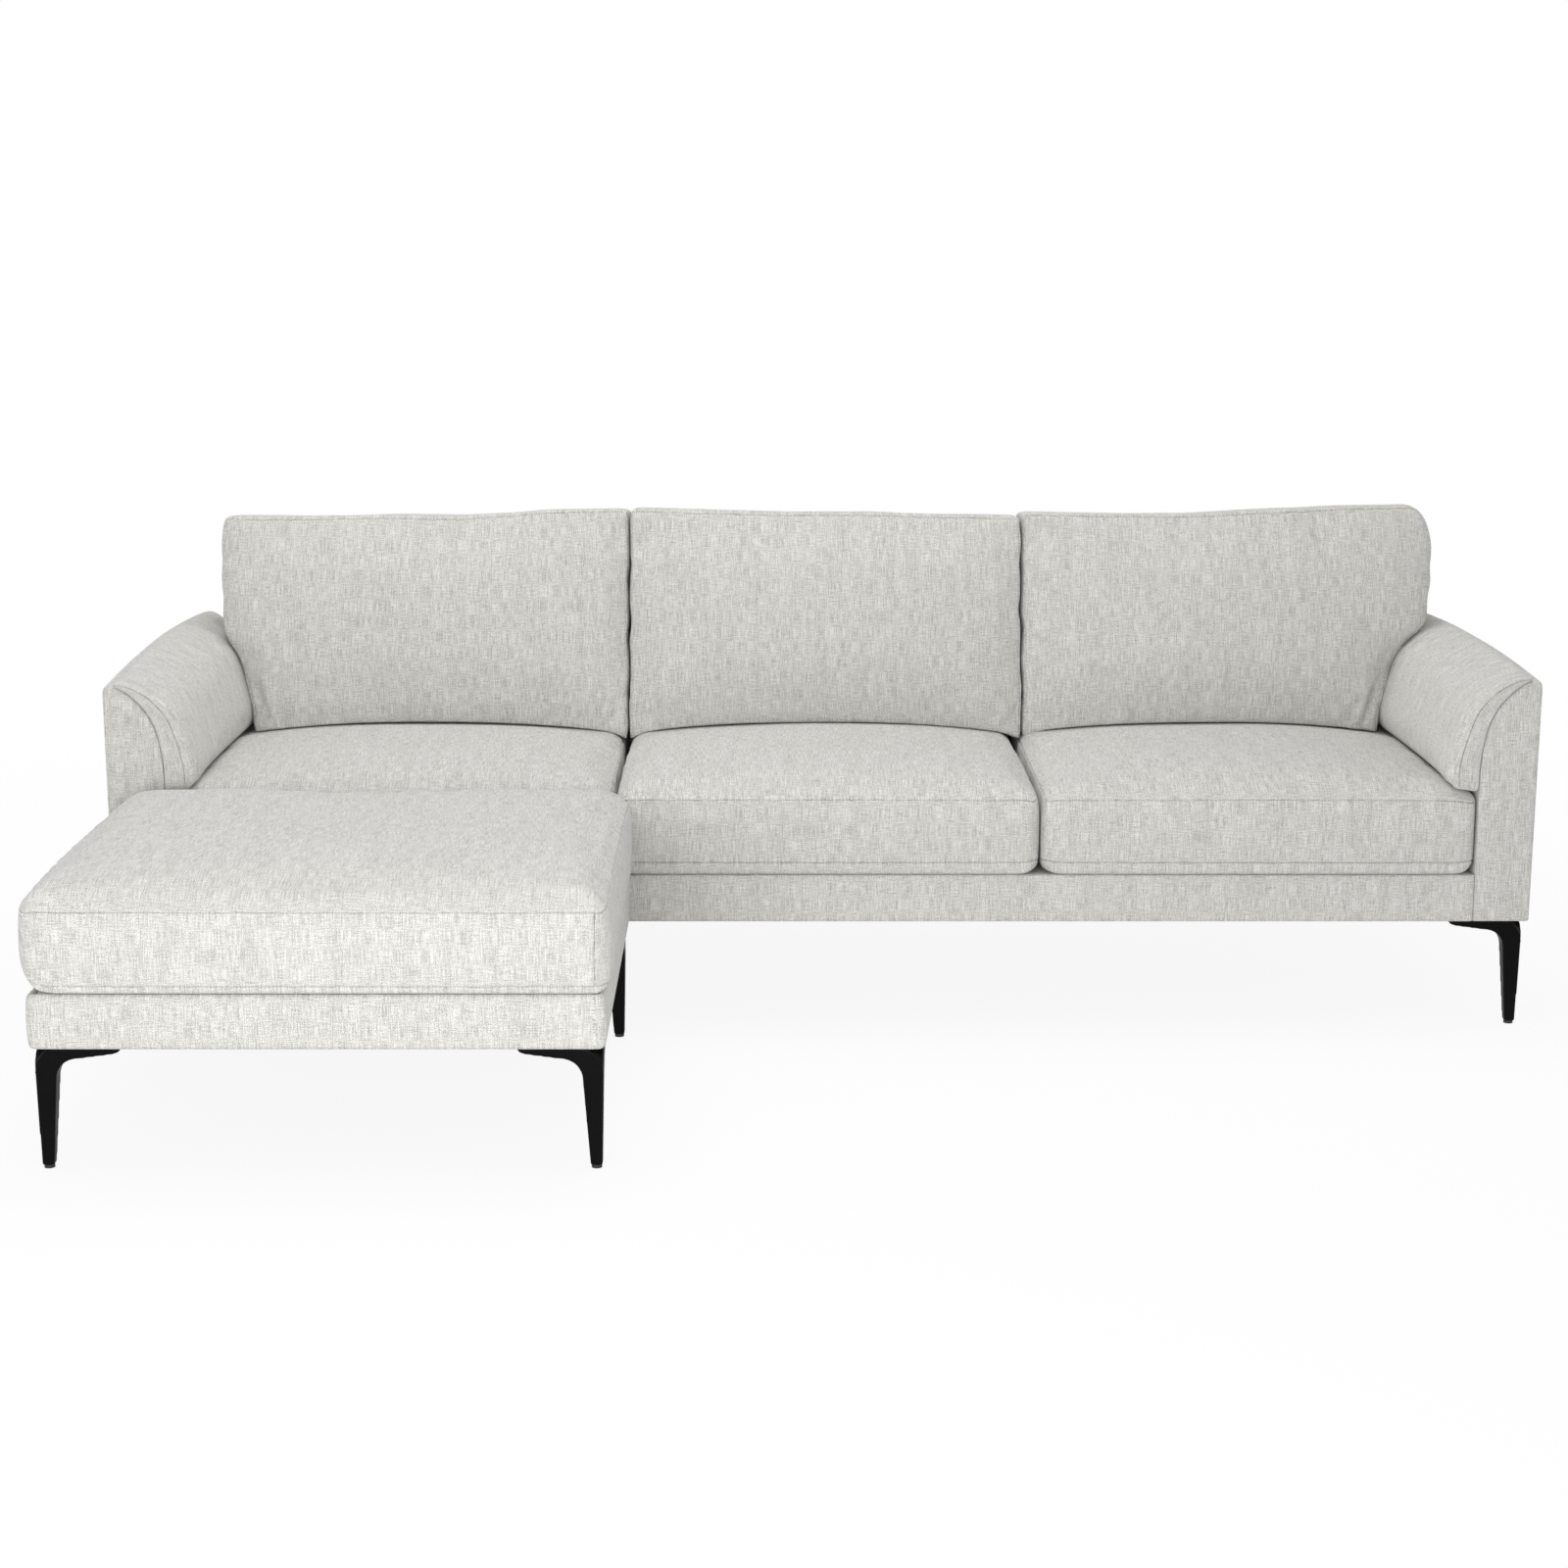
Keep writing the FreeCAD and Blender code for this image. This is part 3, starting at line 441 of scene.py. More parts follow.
def mesh_piece(name, points, faces, cloth=None):
    """A piece of smooth mesh, with its faces turned outwards."""
    mesh = bpy.data.meshes.new(name)
    mesh.from_pydata([tuple(p) for p in points], [], faces)
    if cloth:
        layer = mesh.uv_layers.new(name="cloth")
        layer.uv.foreach_set("vector", [v for ring in cloth for pair in ring for v in pair])
    piece = bpy.data.objects.new(name, mesh)
    bpy.context.scene.collection.objects.link(piece)
    body = bmesh.new()
    body.from_mesh(mesh)
    bmesh.ops.recalc_face_normals(body, faces=body.faces)
    body.to_mesh(mesh)
    body.free()
    mesh.shade_smooth()
    return piece


def dressed(piece, body, slot, finish, *nodes, divide=1):
    """Gives a piece its finish and its place in the frame."""
    piece.data.materials.append(finish)
    if divide:
        smooth = piece.modifiers.new("smooth", "SUBSURF")
        smooth.levels = divide
        smooth.render_levels = divide
    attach(piece, body)
    if nodes:
        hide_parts(*nodes)
    return piece


def vectors(rows, name):
    values = np.zeros(len(rows) * 3)
    rows.foreach_get(name, values)
    return values.reshape(-1, 3)


def vertex_places(piece):
    return vectors(piece.data.vertices, "co")


def vertex_normals(piece):
    return vectors(piece.data.vertex_normals, "vector")


def set_places(piece, places):
    piece.data.vertices.foreach_set("co", places.ravel())
    piece.data.update()


WAITING = []


def space(low, high, before, after):
    """Corners of the space that a cover may fill: a box and what is added before and after it."""
    return np.array(low) - before, np.array(high) + after


def stuffed(piece, held, cap, pressure, seam, folds, limits, *dress, shift=None):
    """Puts a cover down for filling, with the vertices that its seams and rests hold."""
    WAITING.append(dict(piece=piece, held=held, cap=cap, pressure=pressure, seam=seam, folds=folds,
                        limits=limits, dress=dress, shift=shift))


def start_filling(job):
    piece = job["piece"]
    group = piece.vertex_groups.new(name="held")
    group.add([int(i) for i in np.flatnonzero(job["held"])], 1.0, "REPLACE")
    filling = piece.modifiers.new("filling", "CLOTH")
    for key, value in FILL_SETTINGS.items():
        setattr(filling.settings, key, value)
    filling.settings.uniform_pressure_force = job["pressure"]
    filling.settings.effector_weights.gravity = 0
    filling.collision_settings.use_collision = False
    filling.point_cache.frame_start = 1
    filling.point_cache.frame_end = FILL_FRAMES


def end_filling(job, cut, graph):
    """Keeps each point within the cap of where it was cut, and clear of its neighbours."""
    piece = job["piece"]
    swollen = vertex_places(piece.evaluated_get(graph))
    move = swollen - cut
    length = np.linalg.norm(move, axis=1, keepdims=True)
    move *= np.minimum(1.0, job["cap"] / np.maximum(length, 1e-9))
    places = cut + move
    if job["limits"] is not None:
        places = np.clip(places, *job["limits"])
    return places


def fill_covers():
    """Blows all covers up together as their filling does, then sews, creases and dresses them."""
    cuts = [vertex_places(job["piece"]) for job in WAITING]
    for job in WAITING:
        start_filling(job)
    scene = bpy.context.scene
    for step in range(1, FILL_FRAMES + 1):
        scene.frame_set(step)
    graph = bpy.context.evaluated_depsgraph_get()
    results = [end_filling(job, cut, graph) for job, cut in zip(WAITING, cuts)]
    for job, places in zip(WAITING, results):
        piece = job["piece"]
        piece.modifiers.remove(piece.modifiers["filling"])
        piece.vertex_groups.remove(piece.vertex_groups["held"])
        set_places(piece, places)
    scene.frame_set(1)
    for job in WAITING:
        sewn(job["piece"], job["seam"])
        creased(job["piece"], job["folds"])
        if job["shift"]:
            places = vertex_places(job["piece"])
            job["shift"](places)
            set_places(job["piece"], places)
        dressed(job["piece"], *job["dress"])


def sewn(piece, seam):
    """Pulls a seam into its cover."""
    places = vertex_places(piece)
    places[seam] -= vertex_normals(piece)[seam] * SEAM_DEPTH
    set_places(piece, places)


def creased(piece, folds):
    """Presses folds into the front of a cover, each from point to point, with its depth and width."""
    places = vertex_places(piece)
    normals = vertex_normals(piece)
    facing = np.maximum(0, -normals[:, 1])
    for start, end, depth, width in folds:
        start, run = np.array(start), np.array(end) - np.array(start)
        flat = places[:, (0, 2)] - start
        t = np.clip((flat @ run) / (run @ run), 0, 1)
        away = np.linalg.norm(flat - t[:, None] * run, axis=1) / width
        fading = np.sin(np.pi * (FOLD_START + t * (1 - 2 * FOLD_START)))
        furrow = np.exp(-away ** 2) - FOLD_RIDGE * np.exp(-(away - FOLD_RIDGE_AWAY) ** 2)
        places -= normals * (depth * facing * fading * furrow)[:, None]
    set_places(piece, places)


def dent(point, size, seed):
    """Soft unevenness of a stuffed cover."""
    return noise.noise(Vector(point) * size + Vector((seed, seed * 1.7, seed * 0.3)))


# Seat cushions

BOX_STEP = 0.016
BOX_STEP_UP = 0.012
BOX_BULGE = 0.003
# Most that the filling moves the cloth, and its pressure
BOX_FILLING = (0.006, 3.0)
TOP_UNEVEN = 0.0028
FRONT_UNEVEN = 0.0012
SEAT_EDGE = 0.1490
SEAT_CROWN = 0.031
# Powers of the crown across, along before the middle and behind it; share of it lost at a free end
SEAT_POWERS = (2.3, 2.6, 2.2, 0.90)
# How far out the crown reaches at each end: 1 at a free one, less at one under an arm pad
SEAT_SIDES = {"left": (0.94, 1.0), "middle": (1.0, 1.0), "right": (1.0, 0.94)}
SEAT_SEAMS = (0.0230, 0.1400)
SEAT_FOOT_RADII = (0.034, 0.010)
SEAT_FOOT_TAPER = 0.55
SEAT_TOP_RADII = {"free": 0.030, "under_pad": 0.014}
SEAT_FRONT_RADII = (0.006, 0.038)
SEAT_REAR_RADII = (0.014, 0.026)
SEAT_CORNER = 0.024
SEAT_SPACE = ((0.001, 0.008, 0.0), (0.001, 0.0, 0.004))
UNDER_BACK = 0.70
END_FALL = 0.007
END_FALL_START = 0.80
REAR_FALL = 0.004
REAR_FALL_START = -0.2
REAR_EASE = 0.003
REAR_EASE_RUN = 2.5
HALF_JOINT = 0.003


def crown_share(u, v, ends, powers):
    """Share of the crown at a place across and along a box cushion."""
    reach = ends[0] if u < 0 else ends[1]
    drop = powers[3] if reach == 1 else 1.0
    across = 1 - drop * min(1.0, abs(u) / reach) ** powers[0]
    along = 1 - abs(v) ** powers[1 if v < 0 else 2]
    return across * along


def end_fall(u, ends):
    """How far the top of a cushion drops towards an end that lies under an arm pad."""
    reach = ends[0] if u < 0 else ends[1]
    if reach == 1:
        return 0.0
    return END_FALL * max(0.0, (abs(u) - END_FALL_START) / (1 - END_FALL_START)) ** 2


def rear_fall(v):
    """How far the weight of the back cushions presses the seat down, at a place along it."""
    return REAR_FALL * max(0.0, v - REAR_FALL_START) / (1 - REAR_FALL_START)


SEAT_BOXES = {side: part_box(f"seat_cushion_{side}_cover") for side in SEAT_SIDES}


def seat_top(x, y):
    """Height of the seat cushions at a place."""
    for side, (low, high) in SEAT_BOXES.items():
        if x < high.x + HALF_JOINT or side == "right":
            u = max(-1.0, min(1.0, 2 * (x - low.x) / (high.x - low.x) - 1))
            v = max(-1.0, min(1.0, 2 * (y - low.y) / (high.y - low.y) - 1))
            ends = SEAT_SIDES[side]
            crown = SEAT_CROWN * crown_share(u, v, ends, SEAT_POWERS)
            return low.z + SEAT_EDGE + crown - end_fall(u, ends) - rear_fall(v)
    return low.z


def box_cushion(name, low, high, edge, crown, powers, seams, edges, ends, seed,
                bow=(0.0, 0.0), joins=(), pressed=False):
    """Cover of a box cushion, with its lower and upper seams and the joins of its border in front.

    A pressed one lies under back cushions: its top falls to the rear, and its sides clear theirs.
    """
    size = (high.x - low.x, high.y - low.y, edge)

    def place(a, b, c):
        a, b, c = eased((a, b, c), size, edges(b * size[1]))
        u, v = 2 * a - 1, 2 * b - 1
        x = low.x + a * size[0]
        y = low.y + b * size[1]
        z = low.z + c * edge + c * (crown * crown_share(u, v, ends, powers) - end_fall(u, ends))
        if pressed:
            z -= c * rear_fall(v)
            x -= math.copysign(REAR_EASE, u) * min(1.0, max(0.0, REAR_EASE_RUN * v)) * abs(u) ** 8
        belly = math.sin(math.pi * min(1.0, max(0.0, c)))
        y += BOX_BULGE * belly * (1 - u ** 4) * (0.5 * max(0.0, v) ** 10 - max(0.0, -v) ** 10)
        x += bow[u > 0] * belly * math.copysign(1 - v * v, u) * abs(u) ** 8
        z += TOP_UNEVEN * c * dent((x, y, 0), 4.5, seed) * (1 - v ** 6) * (1 - u ** 6)
        y += FRONT_UNEVEN * dent((x, z * 2, 1), 7.0, seed + 3) * max(0.0, -v) ** 6
        return x, y, z

    piece, shares = cover(
        name, lines(size[0], BOX_STEP, seam_marks(*joins)), lines(size[1], BOX_STEP),
        lines(edge, BOX_STEP_UP, seam_marks(*seams)), size, place)
    a, b, c = shares.T
    rim = np.minimum(np.minimum(a, 1 - a), np.minimum(b, 1 - b)) < NEAR
    seam = np.zeros(len(shares), bool)
    for height in seams:
        seam |= rim & (abs(c - height / edge) < ON_LINE)
    between = (c > seams[0] / edge) & (c < seams[1] / edge)
    for join in joins:
        seam |= (b < NEAR) & between & (abs(a - 1 - join / size[0]) < ON_LINE)
    return piece, shares, seam


def seat_cushions():
    """Three box cushions: the middle one lifts off, and the outer two stay on the sofa."""
    bodies = {"left": "sofa", "middle": "seat_cushion_middle", "right": "sofa"}
    for seed, (side, body) in enumerate(bodies.items()):
        low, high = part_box(f"seat_cushion_{side}_cover")
        tops = [SEAT_TOP_RADII["under_pad" if reach < 1 else "free"] for reach in SEAT_SIDES[side]]

        def edges(depth):
            foot = max(SEAT_FOOT_RADII[1], SEAT_FOOT_RADII[0] - SEAT_FOOT_TAPER * depth)
            return (((0, 2), ((foot, tops[0]), (foot, tops[1]))),
                    ((1, 2), (SEAT_FRONT_RADII, SEAT_REAR_RADII)), ((0, 1), all_edges(SEAT_CORNER)))

        piece, shares, seam = box_cushion(
            f"seat_cushion_{side}", low, high, SEAT_EDGE, SEAT_CROWN, SEAT_POWERS, SEAT_SEAMS, edges,
            SEAT_SIDES[side], 11.3 + 5 * seed, pressed=True)
        held = seam | (shares[:, 1] > UNDER_BACK) | (shares[:, 2] < NEAR)
        limits = space(low, high, *SEAT_SPACE)
        stuffed(piece, held, *BOX_FILLING, seam, (), limits, body, "upholstery", WEAVE,
                f"seat_cushion_{side}_cover", f"seat_cushion_{side}_core")


# Back cushions

BACK_FOOT = 0.4425
BACK_DEPTH_FOOT = 0.214
BACK_DEPTH_TOP = 0.180
BACK_BELLY = 0.040
BACK_TOP_FALL = 0.018
BACK_DROOP = 0.015
# Heights of each cushion's top, evenly from its left end to its right one
BACK_TOPS = {
    "left": (0.8290, 0.8280, 0.8310, 0.8300, 0.8400, 0.8420),
    "middle": (0.8440, 0.8400, 0.8360, 0.8370, 0.8320, 0.8300),
    "right": (0.8360, 0.8340, 0.8330, 0.8410, 0.8470, 0.8510),
}
BACK_ENDS = {"left": -1.135, "right": 1.176}
BACK_JOINTS = [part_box("back_cushion_middle_cover")[end].x for end in (0, 1)]
BACK_END_RADII = {"left": 0.018, "right": 0.032}
BACK_END_BOWS = {"left": (0.004, 0.003), "right": (0.010, 0.009)}
BACK_END_MIDDLE = 0.762
BACK_END_SPANS = (0.112, 0.051)
BACK_END_BOW_MOST = 0.022
BACK_CLEAR_OF_PAD = 0.004
BACK_END_BLEND = 0.012
BACK_JOINT_RADIUS = 0.015
BACK_TURNS = {"free": 0.028, "joint": 0.011}
BACK_FOOT_RADII = (0.014, 0.011)
BACK_CREST_RADII = (0.020, 0.022)
BACK_REAR_RADIUS = 0.016
BACK_FOOT_CORNER = 0.010
BACK_FULLEST = 0.42
BACK_POWERS = (2.6, 2.3)
BACK_HELD = 0.6
BACK_CLEARANCE = 0.002
BACK_UNEVEN = 0.005
CREST_UNEVEN = 0.002
BACK_FILLING = (0.009, 3.5)
BACK_SPACE = ((0.0012, 0.010, 0.100), (0.0012, 0.0, 0.008))
BACK_STEPS = (0.016, 0.015, 0.018)
ON_SEAT = 0.0005
CORNER = tuple(0.012 + 0.007 * i for i in range(9))
# Folds at the feet of each cushion: from, to, depth and width
BACK_FOLDS = {
    "left": (((-1.062, 0.520), (-1.036, 0.440), 0.005, 0.010),),
    "middle": (((-0.330, 0.500), (-0.352, 0.440), 0.004, 0.010),
               ((0.362, 0.500), (0.384, 0.440), 0.004, 0.010)),
    "right": (((1.068, 0.525), (1.038, 0.440), 0.008, 0.010),
              ((1.030, 0.490), (1.000, 0.440), 0.003, 0.012)),
}
JOINT_WAVE = 0.0035
JOINT_REACH = 0.05


def jostled(places):
    """Cushions pressed together: their joints wander a little, the same for both neighbours."""
    for joint in BACK_JOINTS:
        for point in places:
            near = math.exp(-((point[0] - joint) / JOINT_REACH) ** 2)
            if near > 0.001:
                point[0] += JOINT_WAVE * near * noise.noise(Vector((joint * 9, 0.3, point[2] * 17)))


def inside_back_y(z):
    return INSIDE_FOOT + (z - DECK) * INSIDE_SLOPE


def outside_back_y(z):
    return OUTSIDE_TOP - (BACK_TOP - z) * OUTSIDE_SLOPE


def crown_at(y):
    """How far the top of an arm stands above its ends, at a place along it."""
    return ARM_CROWN * (1 - (1 - 2 * (y - FRONT) / ARM_DEPTH) ** 2)


def up_arm(z):
    """How far up an arm a height lies, from where its crown begins to its crest."""
    return (z - ARM_SPRING) / (ARM_CREST - ARM_SPRING)


def crowned(z, y):
    """Height of a point of an arm's section at a place along the arm."""
    return z + crown_at(y) * min(1.0, max(0.0, up_arm(z)))


# The pad's face beside the back cushions, from the seat up, and how fast it runs out above that
PAD_SIDE = [along_curve(PAD_FACE, i / 60) for i in range(60, -1, -1)]
PAD_SIDE_CROWN = 0.9 * ARM_CROWN
PAD_SIDE_Z = [p[1] + PAD_SIDE_CROWN * up_arm(p[1]) for p in PAD_SIDE]
PAD_SIDE_X = [p[0] for p in PAD_SIDE]
PAD_TOP_RUN = 6


def beside_pad(z, side):
    """How far out a back cushion reaches at a height: to its bowed end, or to the arm pad below it."""
    upper = z >= BACK_END_MIDDLE
    bow = BACK_END_BOWS[side][upper] * ((z - BACK_END_MIDDLE) / BACK_END_SPANS[upper]) ** 2
    end = abs(BACK_ENDS[side]) - min(bow, BACK_END_BOW_MOST)
    if z > PAD_SIDE_Z[-1]:
        pad = PAD_SIDE_X[-1] + (z - PAD_SIDE_Z[-1]) * PAD_TOP_RUN
    else:
        pad = np.interp(z, PAD_SIDE_Z, PAD_SIDE_X)
    pad -= BACK_CLEAR_OF_PAD
    blend = BACK_END_BLEND
    return -blend * math.log(math.exp(-pad / blend) + math.exp(-end / blend))


def back_cushion(side, body, seed):
    """A cushion that leans on the inside back and stands on the seat."""
    low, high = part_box(f"back_cushion_{side}_cover")
    tops = BACK_TOPS[side]
    steps = [i / (len(tops) - 1) for i in range(len(tops))]
    size = (high.x - low.x, high.z - BACK_FOOT, BACK_DEPTH_FOOT)
    free = [BACK_END_RADII[end] if side == end else BACK_JOINT_RADIUS for end in ("left", "right")]
    turn = [BACK_TURNS["free" if side == end else "joint"] for end in ("left", "right")]
    edges = (((1, 2), (BACK_FOOT_RADII, BACK_CREST_RADII)),
             ((0, 2), ((BACK_REAR_RADIUS, turn[0]), (BACK_REAR_RADIUS, turn[1]))),
             ((0, 1), ((BACK_FOOT_CORNER, free[0]), (BACK_FOOT_CORNER, free[1]))))

    def place(a, b, c):
        a, b, c = eased((a, b, c), size, edges)
        u = 2 * a - 1
        w = (b - BACK_FULLEST) / (1 - BACK_FULLEST if b > BACK_FULLEST else BACK_FULLEST)
        top = np.interp(a, steps, tops)
        z = BACK_FOOT + (top - BACK_FOOT) * b - BACK_TOP_FALL * b ** 4 * (1 - c)
        left, right = low.x, high.x
        if side == "left":
            left = -beside_pad(z, side)
        if side == "right":
            right = beside_pad(z, side)
        x = left + (right - left) * a
        depth = BACK_DEPTH_FOOT + (BACK_DEPTH_TOP - BACK_DEPTH_FOOT) * b
        full = (1 - abs(u) ** BACK_POWERS[0]) * (1 - abs(w) ** BACK_POWERS[1])
        y = inside_back_y(z) - BACK_CLEARANCE - c * (depth + BACK_BELLY * full)
        z += (1 - b) ** 3 * (seat_top(x, y) + ON_SEAT - BACK_FOOT)
        at_joints = a ** 40 * (side != "right") + (1 - a) ** 40 * (side != "left")
        z -= (1 - b) ** 6 * BACK_DROOP * at_joints
        y += BACK_UNEVEN * c * dent((x, z, 2), 4.0, seed)
        z += CREST_UNEVEN * b ** 4 * dent((x, y, 5), 9.0, seed + 1)
        return x, y, z

    marks = FIRST_EDGE + CORNER + LAST_EDGE
    all_marks = (marks + tuple(-m for m in CORNER), marks, LAST_EDGE)
    piece, shares = cover(
        f"back_cushion_{side}", *map(lines, size, BACK_STEPS, all_marks), size, place, ways=(0, 2, 1))
    a, b, c = shares.T
    at_edge = np.minimum(np.minimum(a, 1 - a), 1 - b) < NEAR
    seam = (c > 1 - NEAR) & at_edge
    held = seam | (c < 1 - NEAR) & ((c < BACK_HELD) | (b > 1 - NEAR)) | (b < NEAR)
    limits = space(low, high, *BACK_SPACE)
    stuffed(piece, held, *BACK_FILLING, seam, BACK_FOLDS[side], limits, body, "upholstery", WEAVE,
            f"back_cushion_{side}_cover", f"back_cushion_{side}_core", shift=jostled)


def back_cushions():
    for seed, side in enumerate(("left", "middle", "right")):
        back_cushion(side, f"back_cushion_{side}", 31.7 + 4 * seed)


# Arms

ARM_TILT = 0.005
ARM_FRONT_RADII = (0.006, 0.006)
ARM_REAR_RADII = (0.006, 0.008)
ARM_CREST_RADIUS = 0.013
ARM_JOINT_RADIUS = 0.0015
ARM_CORNER = 0.006
ARM_SWELL = 0.0025
ARM_SPREAD = 0.0015
ARM_STEPS = (0.008, 0.022, 0.016)
ARM_MARKS = ((), (0.006, 0.010, -0.006, -0.010), (0.006, -0.006))
PAD_SIZE = (0.25, 0.76, 0.055)
PAD_EDGES = (((0, 2), ((0.0, 0.004), (0.004, 0.018))), ((1, 2), ((0.004, 0.024), (0.002, 0.006))),
             ((0, 1), ((0.0, 0.0), (0.014, 0.004))))
PAD_PROUD = 0.003
PAD_SEAM = 0.72
PAD_SKIRT = 0.70
PAD_ON_SEAT = 0.0015
PAD_REAR = 0.6
PAD_REAR_GAP = 0.001
PAD_NOSE = 0.05
PAD_FILLING = (0.004, 2.0)
PAD_STEPS = (0.010, 0.016, 0.006)
PAD_MARKS = ((), (0.004, 0.008, 0.012), seam_marks(PAD_SEAM * PAD_SIZE[2]))


def handed(place, hand):
    """Places an arm's points on its side; the two arms' fronts stand at slightly different heights."""
    def on_side(a, b, c):
        x, y, z = place(a, b, c)
        front = max(0.0, 1 - 2 * (y - FRONT) / ARM_DEPTH)
        return hand * x, y, z + hand * ARM_TILT * front * max(0.0, up_arm(z))
    return on_side


def arm(side, hand):
    """The shell of an arm, from the base up to its crest."""
    size = (OUT - INNER, ARM_DEPTH, ARM_CREST - BASE)
    edges = (((0, 2), ((0.0, 0.0), (0.0, ARM_CREST_RADIUS))),
             ((1, 2), (ARM_FRONT_RADII, ARM_REAR_RADII)),
             ((0, 1), ((ARM_JOINT_RADIUS, ARM_CORNER), (ARM_CORNER, ARM_CORNER))))

    def place(a, b, c):
        a, b, c = eased((a, b, c), size, edges)
        foot = np.array((INNER + (OUT + ARM_SPREAD - INNER) * a, BASE))
        x, z = foot + (along_curve(ARM_CURVE, a) - foot) * c
        y = FRONT + (outside_back_y(z) - FRONT) * b
        swell = ARM_SWELL * math.sin(math.pi * min(1, max(0, c)))
        y += swell * math.sin(math.pi * a) * (max(0, 2 * b - 1) ** 20 - max(0, 1 - 2 * b) ** 20)
        x += swell * math.sin(math.pi * b) * max(0, 2 * a - 1) ** 10
        return x, y, crowned(z, y)

    grids = map(lines, size, ARM_STEPS, ARM_MARKS)
    piece = cover(f"arm_{side}", *grids, size, handed(place, hand))[0]
    dressed(piece, "sofa", "upholstery", WEAVE, f"arm_shell_{side}")


def arm_pad(side, hand):
    """The pad draped over an arm's crest and down its inner side to the seat."""
    front = FRONT - PAD_PROUD

    def place(a, b, c):
        a, b, c = eased((a, b, c), PAD_SIZE, PAD_EDGES)
        under, face = along_curve(PAD_UNDER, a), along_curve(PAD_FACE, a)
        x, z = under + (face - under) * c
        rear = inside_back_y(crowned(z, PAD_REAR)) - PAD_REAR_GAP
        y = front + (rear - front) * b
        z = crowned(z, y)
        skirt = max(0.0, (a - PAD_SKIRT) / (1 - PAD_SKIRT)) ** 2
        seat = seat_top(x, max(y, FRONT + PAD_NOSE)) + PAD_ON_SEAT
        z += skirt * (seat - crowned(PAD_FACE[-1][1], y))
        return x, y, z

    grids = map(lines, PAD_SIZE, PAD_STEPS, PAD_MARKS)
    piece, shares = cover(
        f"arm_pad_{side}_cloth", *grids, PAD_SIZE, handed(place, hand), warp_across=True)
    a, b, c = shares.T
    seam = (b < NEAR) & (abs(c - PAD_SEAM) < ON_LINE)
    underside, rear_end, outer_edge = c < 0.5, b > 0.97, a < 0.06
    held = seam | underside | rear_end | outer_edge
    stuffed(piece, held, *PAD_FILLING, seam, (), None, "sofa", "upholstery", WEAVE, f"arm_pad_{side}")


def arms():
    for side, hand in (("left", -1), ("right", 1)):
        arm(side, hand)
        arm_pad(side, hand)


# Borders, back and linings

BORDER_SWELL = 0.0015


def block(name, low, high, radius, step, lean=None, swell=0.0, end_radius=None):
    """A padded panel over a straight or leaning block."""
    low, high = Vector(low), Vector(high)
    size = tuple(high - low)
    end_radius = end_radius or radius
    ends = all_edges(end_radius)
    edges = (((0, 2), ends), ((1, 2), all_edges(radius)), ((0, 1), ends))

    def place(a, b, c):
        a, b, c = eased((a, b, c), size, edges)
        x, y, z = low.x + a * size[0], low.y + b * size[1], low.z + c * size[2]
        if lean:
            front, rear = lean(z)
            y = front + (rear - front) * b
        y += swell * (2 * b - 1) * math.sin(math.pi * min(1, max(0, c))) * (1 - (2 * a - 1) ** 8)
        return x, y, z

    marks = (radius, -radius)
    grids = [lines(d, min(step, d / 2), marks if d > 3 * radius else ()) for d in size]
    return cover(name, *grids, size, place)[0]


def borders():
    """The border in front and the two faces of the back, stretched over the frame."""
    low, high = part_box("front_border")
    piece = block("front_border_cloth", low, high, radius=0.004, step=0.03, swell=BORDER_SWELL,
                  end_radius=0.0012)
    dressed(piece, "sofa", "upholstery", WEAVE, "front_border")
    low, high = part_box("inside_back")
    gap = BACK_PADDING / math.cos(INSIDE_RAKE)
    piece = block("inside_back_cloth", low, high, radius=0.008, step=0.04,
                  lean=lambda z: (inside_back_y(z), inside_back_y(z) + gap))
    dressed(piece, "sofa", "upholstery", WEAVE, "inside_back")
    low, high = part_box("outside_back")
    piece = block("outside_back_cloth", low, high, radius=0.008, step=0.04,
                  lean=lambda z: (inside_back_y(z) + gap if z > DECK else outside_back_y(z) - PADDING,
                                  outside_back_y(z)))
    dressed(piece, "sofa", "upholstery", WEAVE, "outside_back")


def linings():
    """Decks under the cushions and dust covers under the frames."""
    for node, body, radius, step, finish in (
            ("seat_deck", "sofa", 0.003, 0.05, DECK_LINING),
            ("dust_cover", "sofa", 0.0005, 0.06, DUST_LINING),
            ("footstool_deck", "footstool", 0.003, 0.05, DECK_LINING),
            ("footstool_dust_cover", "footstool", 0.0005, 0.06, DUST_LINING)):
        piece = block(node + "_cloth", *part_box(node), radius, step)
        dressed(piece, body, "lining", finish, node)


# Footstool

STOOL_EDGE = 0.148
STOOL_CROWN = 0.024
STOOL_POWERS = (3.0, 3.0, 5.0, 0.45)
STOOL_SEAMS = (0.014, 0.131)
STOOL_JOIN = 0.015
STOOL_BOW = (0.016, -0.002)
STOOL_EDGES = (((0, 2), ((0.050, 0.034), (0.018, 0.034))), ((1, 2), ((0.010, 0.036), (0.012, 0.034))),
               ((0, 1), all_edges(0.030)))
STOOL_SPACE = ((0.017, 0.006, 0.0), (0.003, 0.006, 0.006))
BORDER_CORNER = 0.014
BORDER_RADIUS = 0.007
BORDER_TURNS = 8
BORDER_STEP = 0.04
HALF_TURN = 0.3


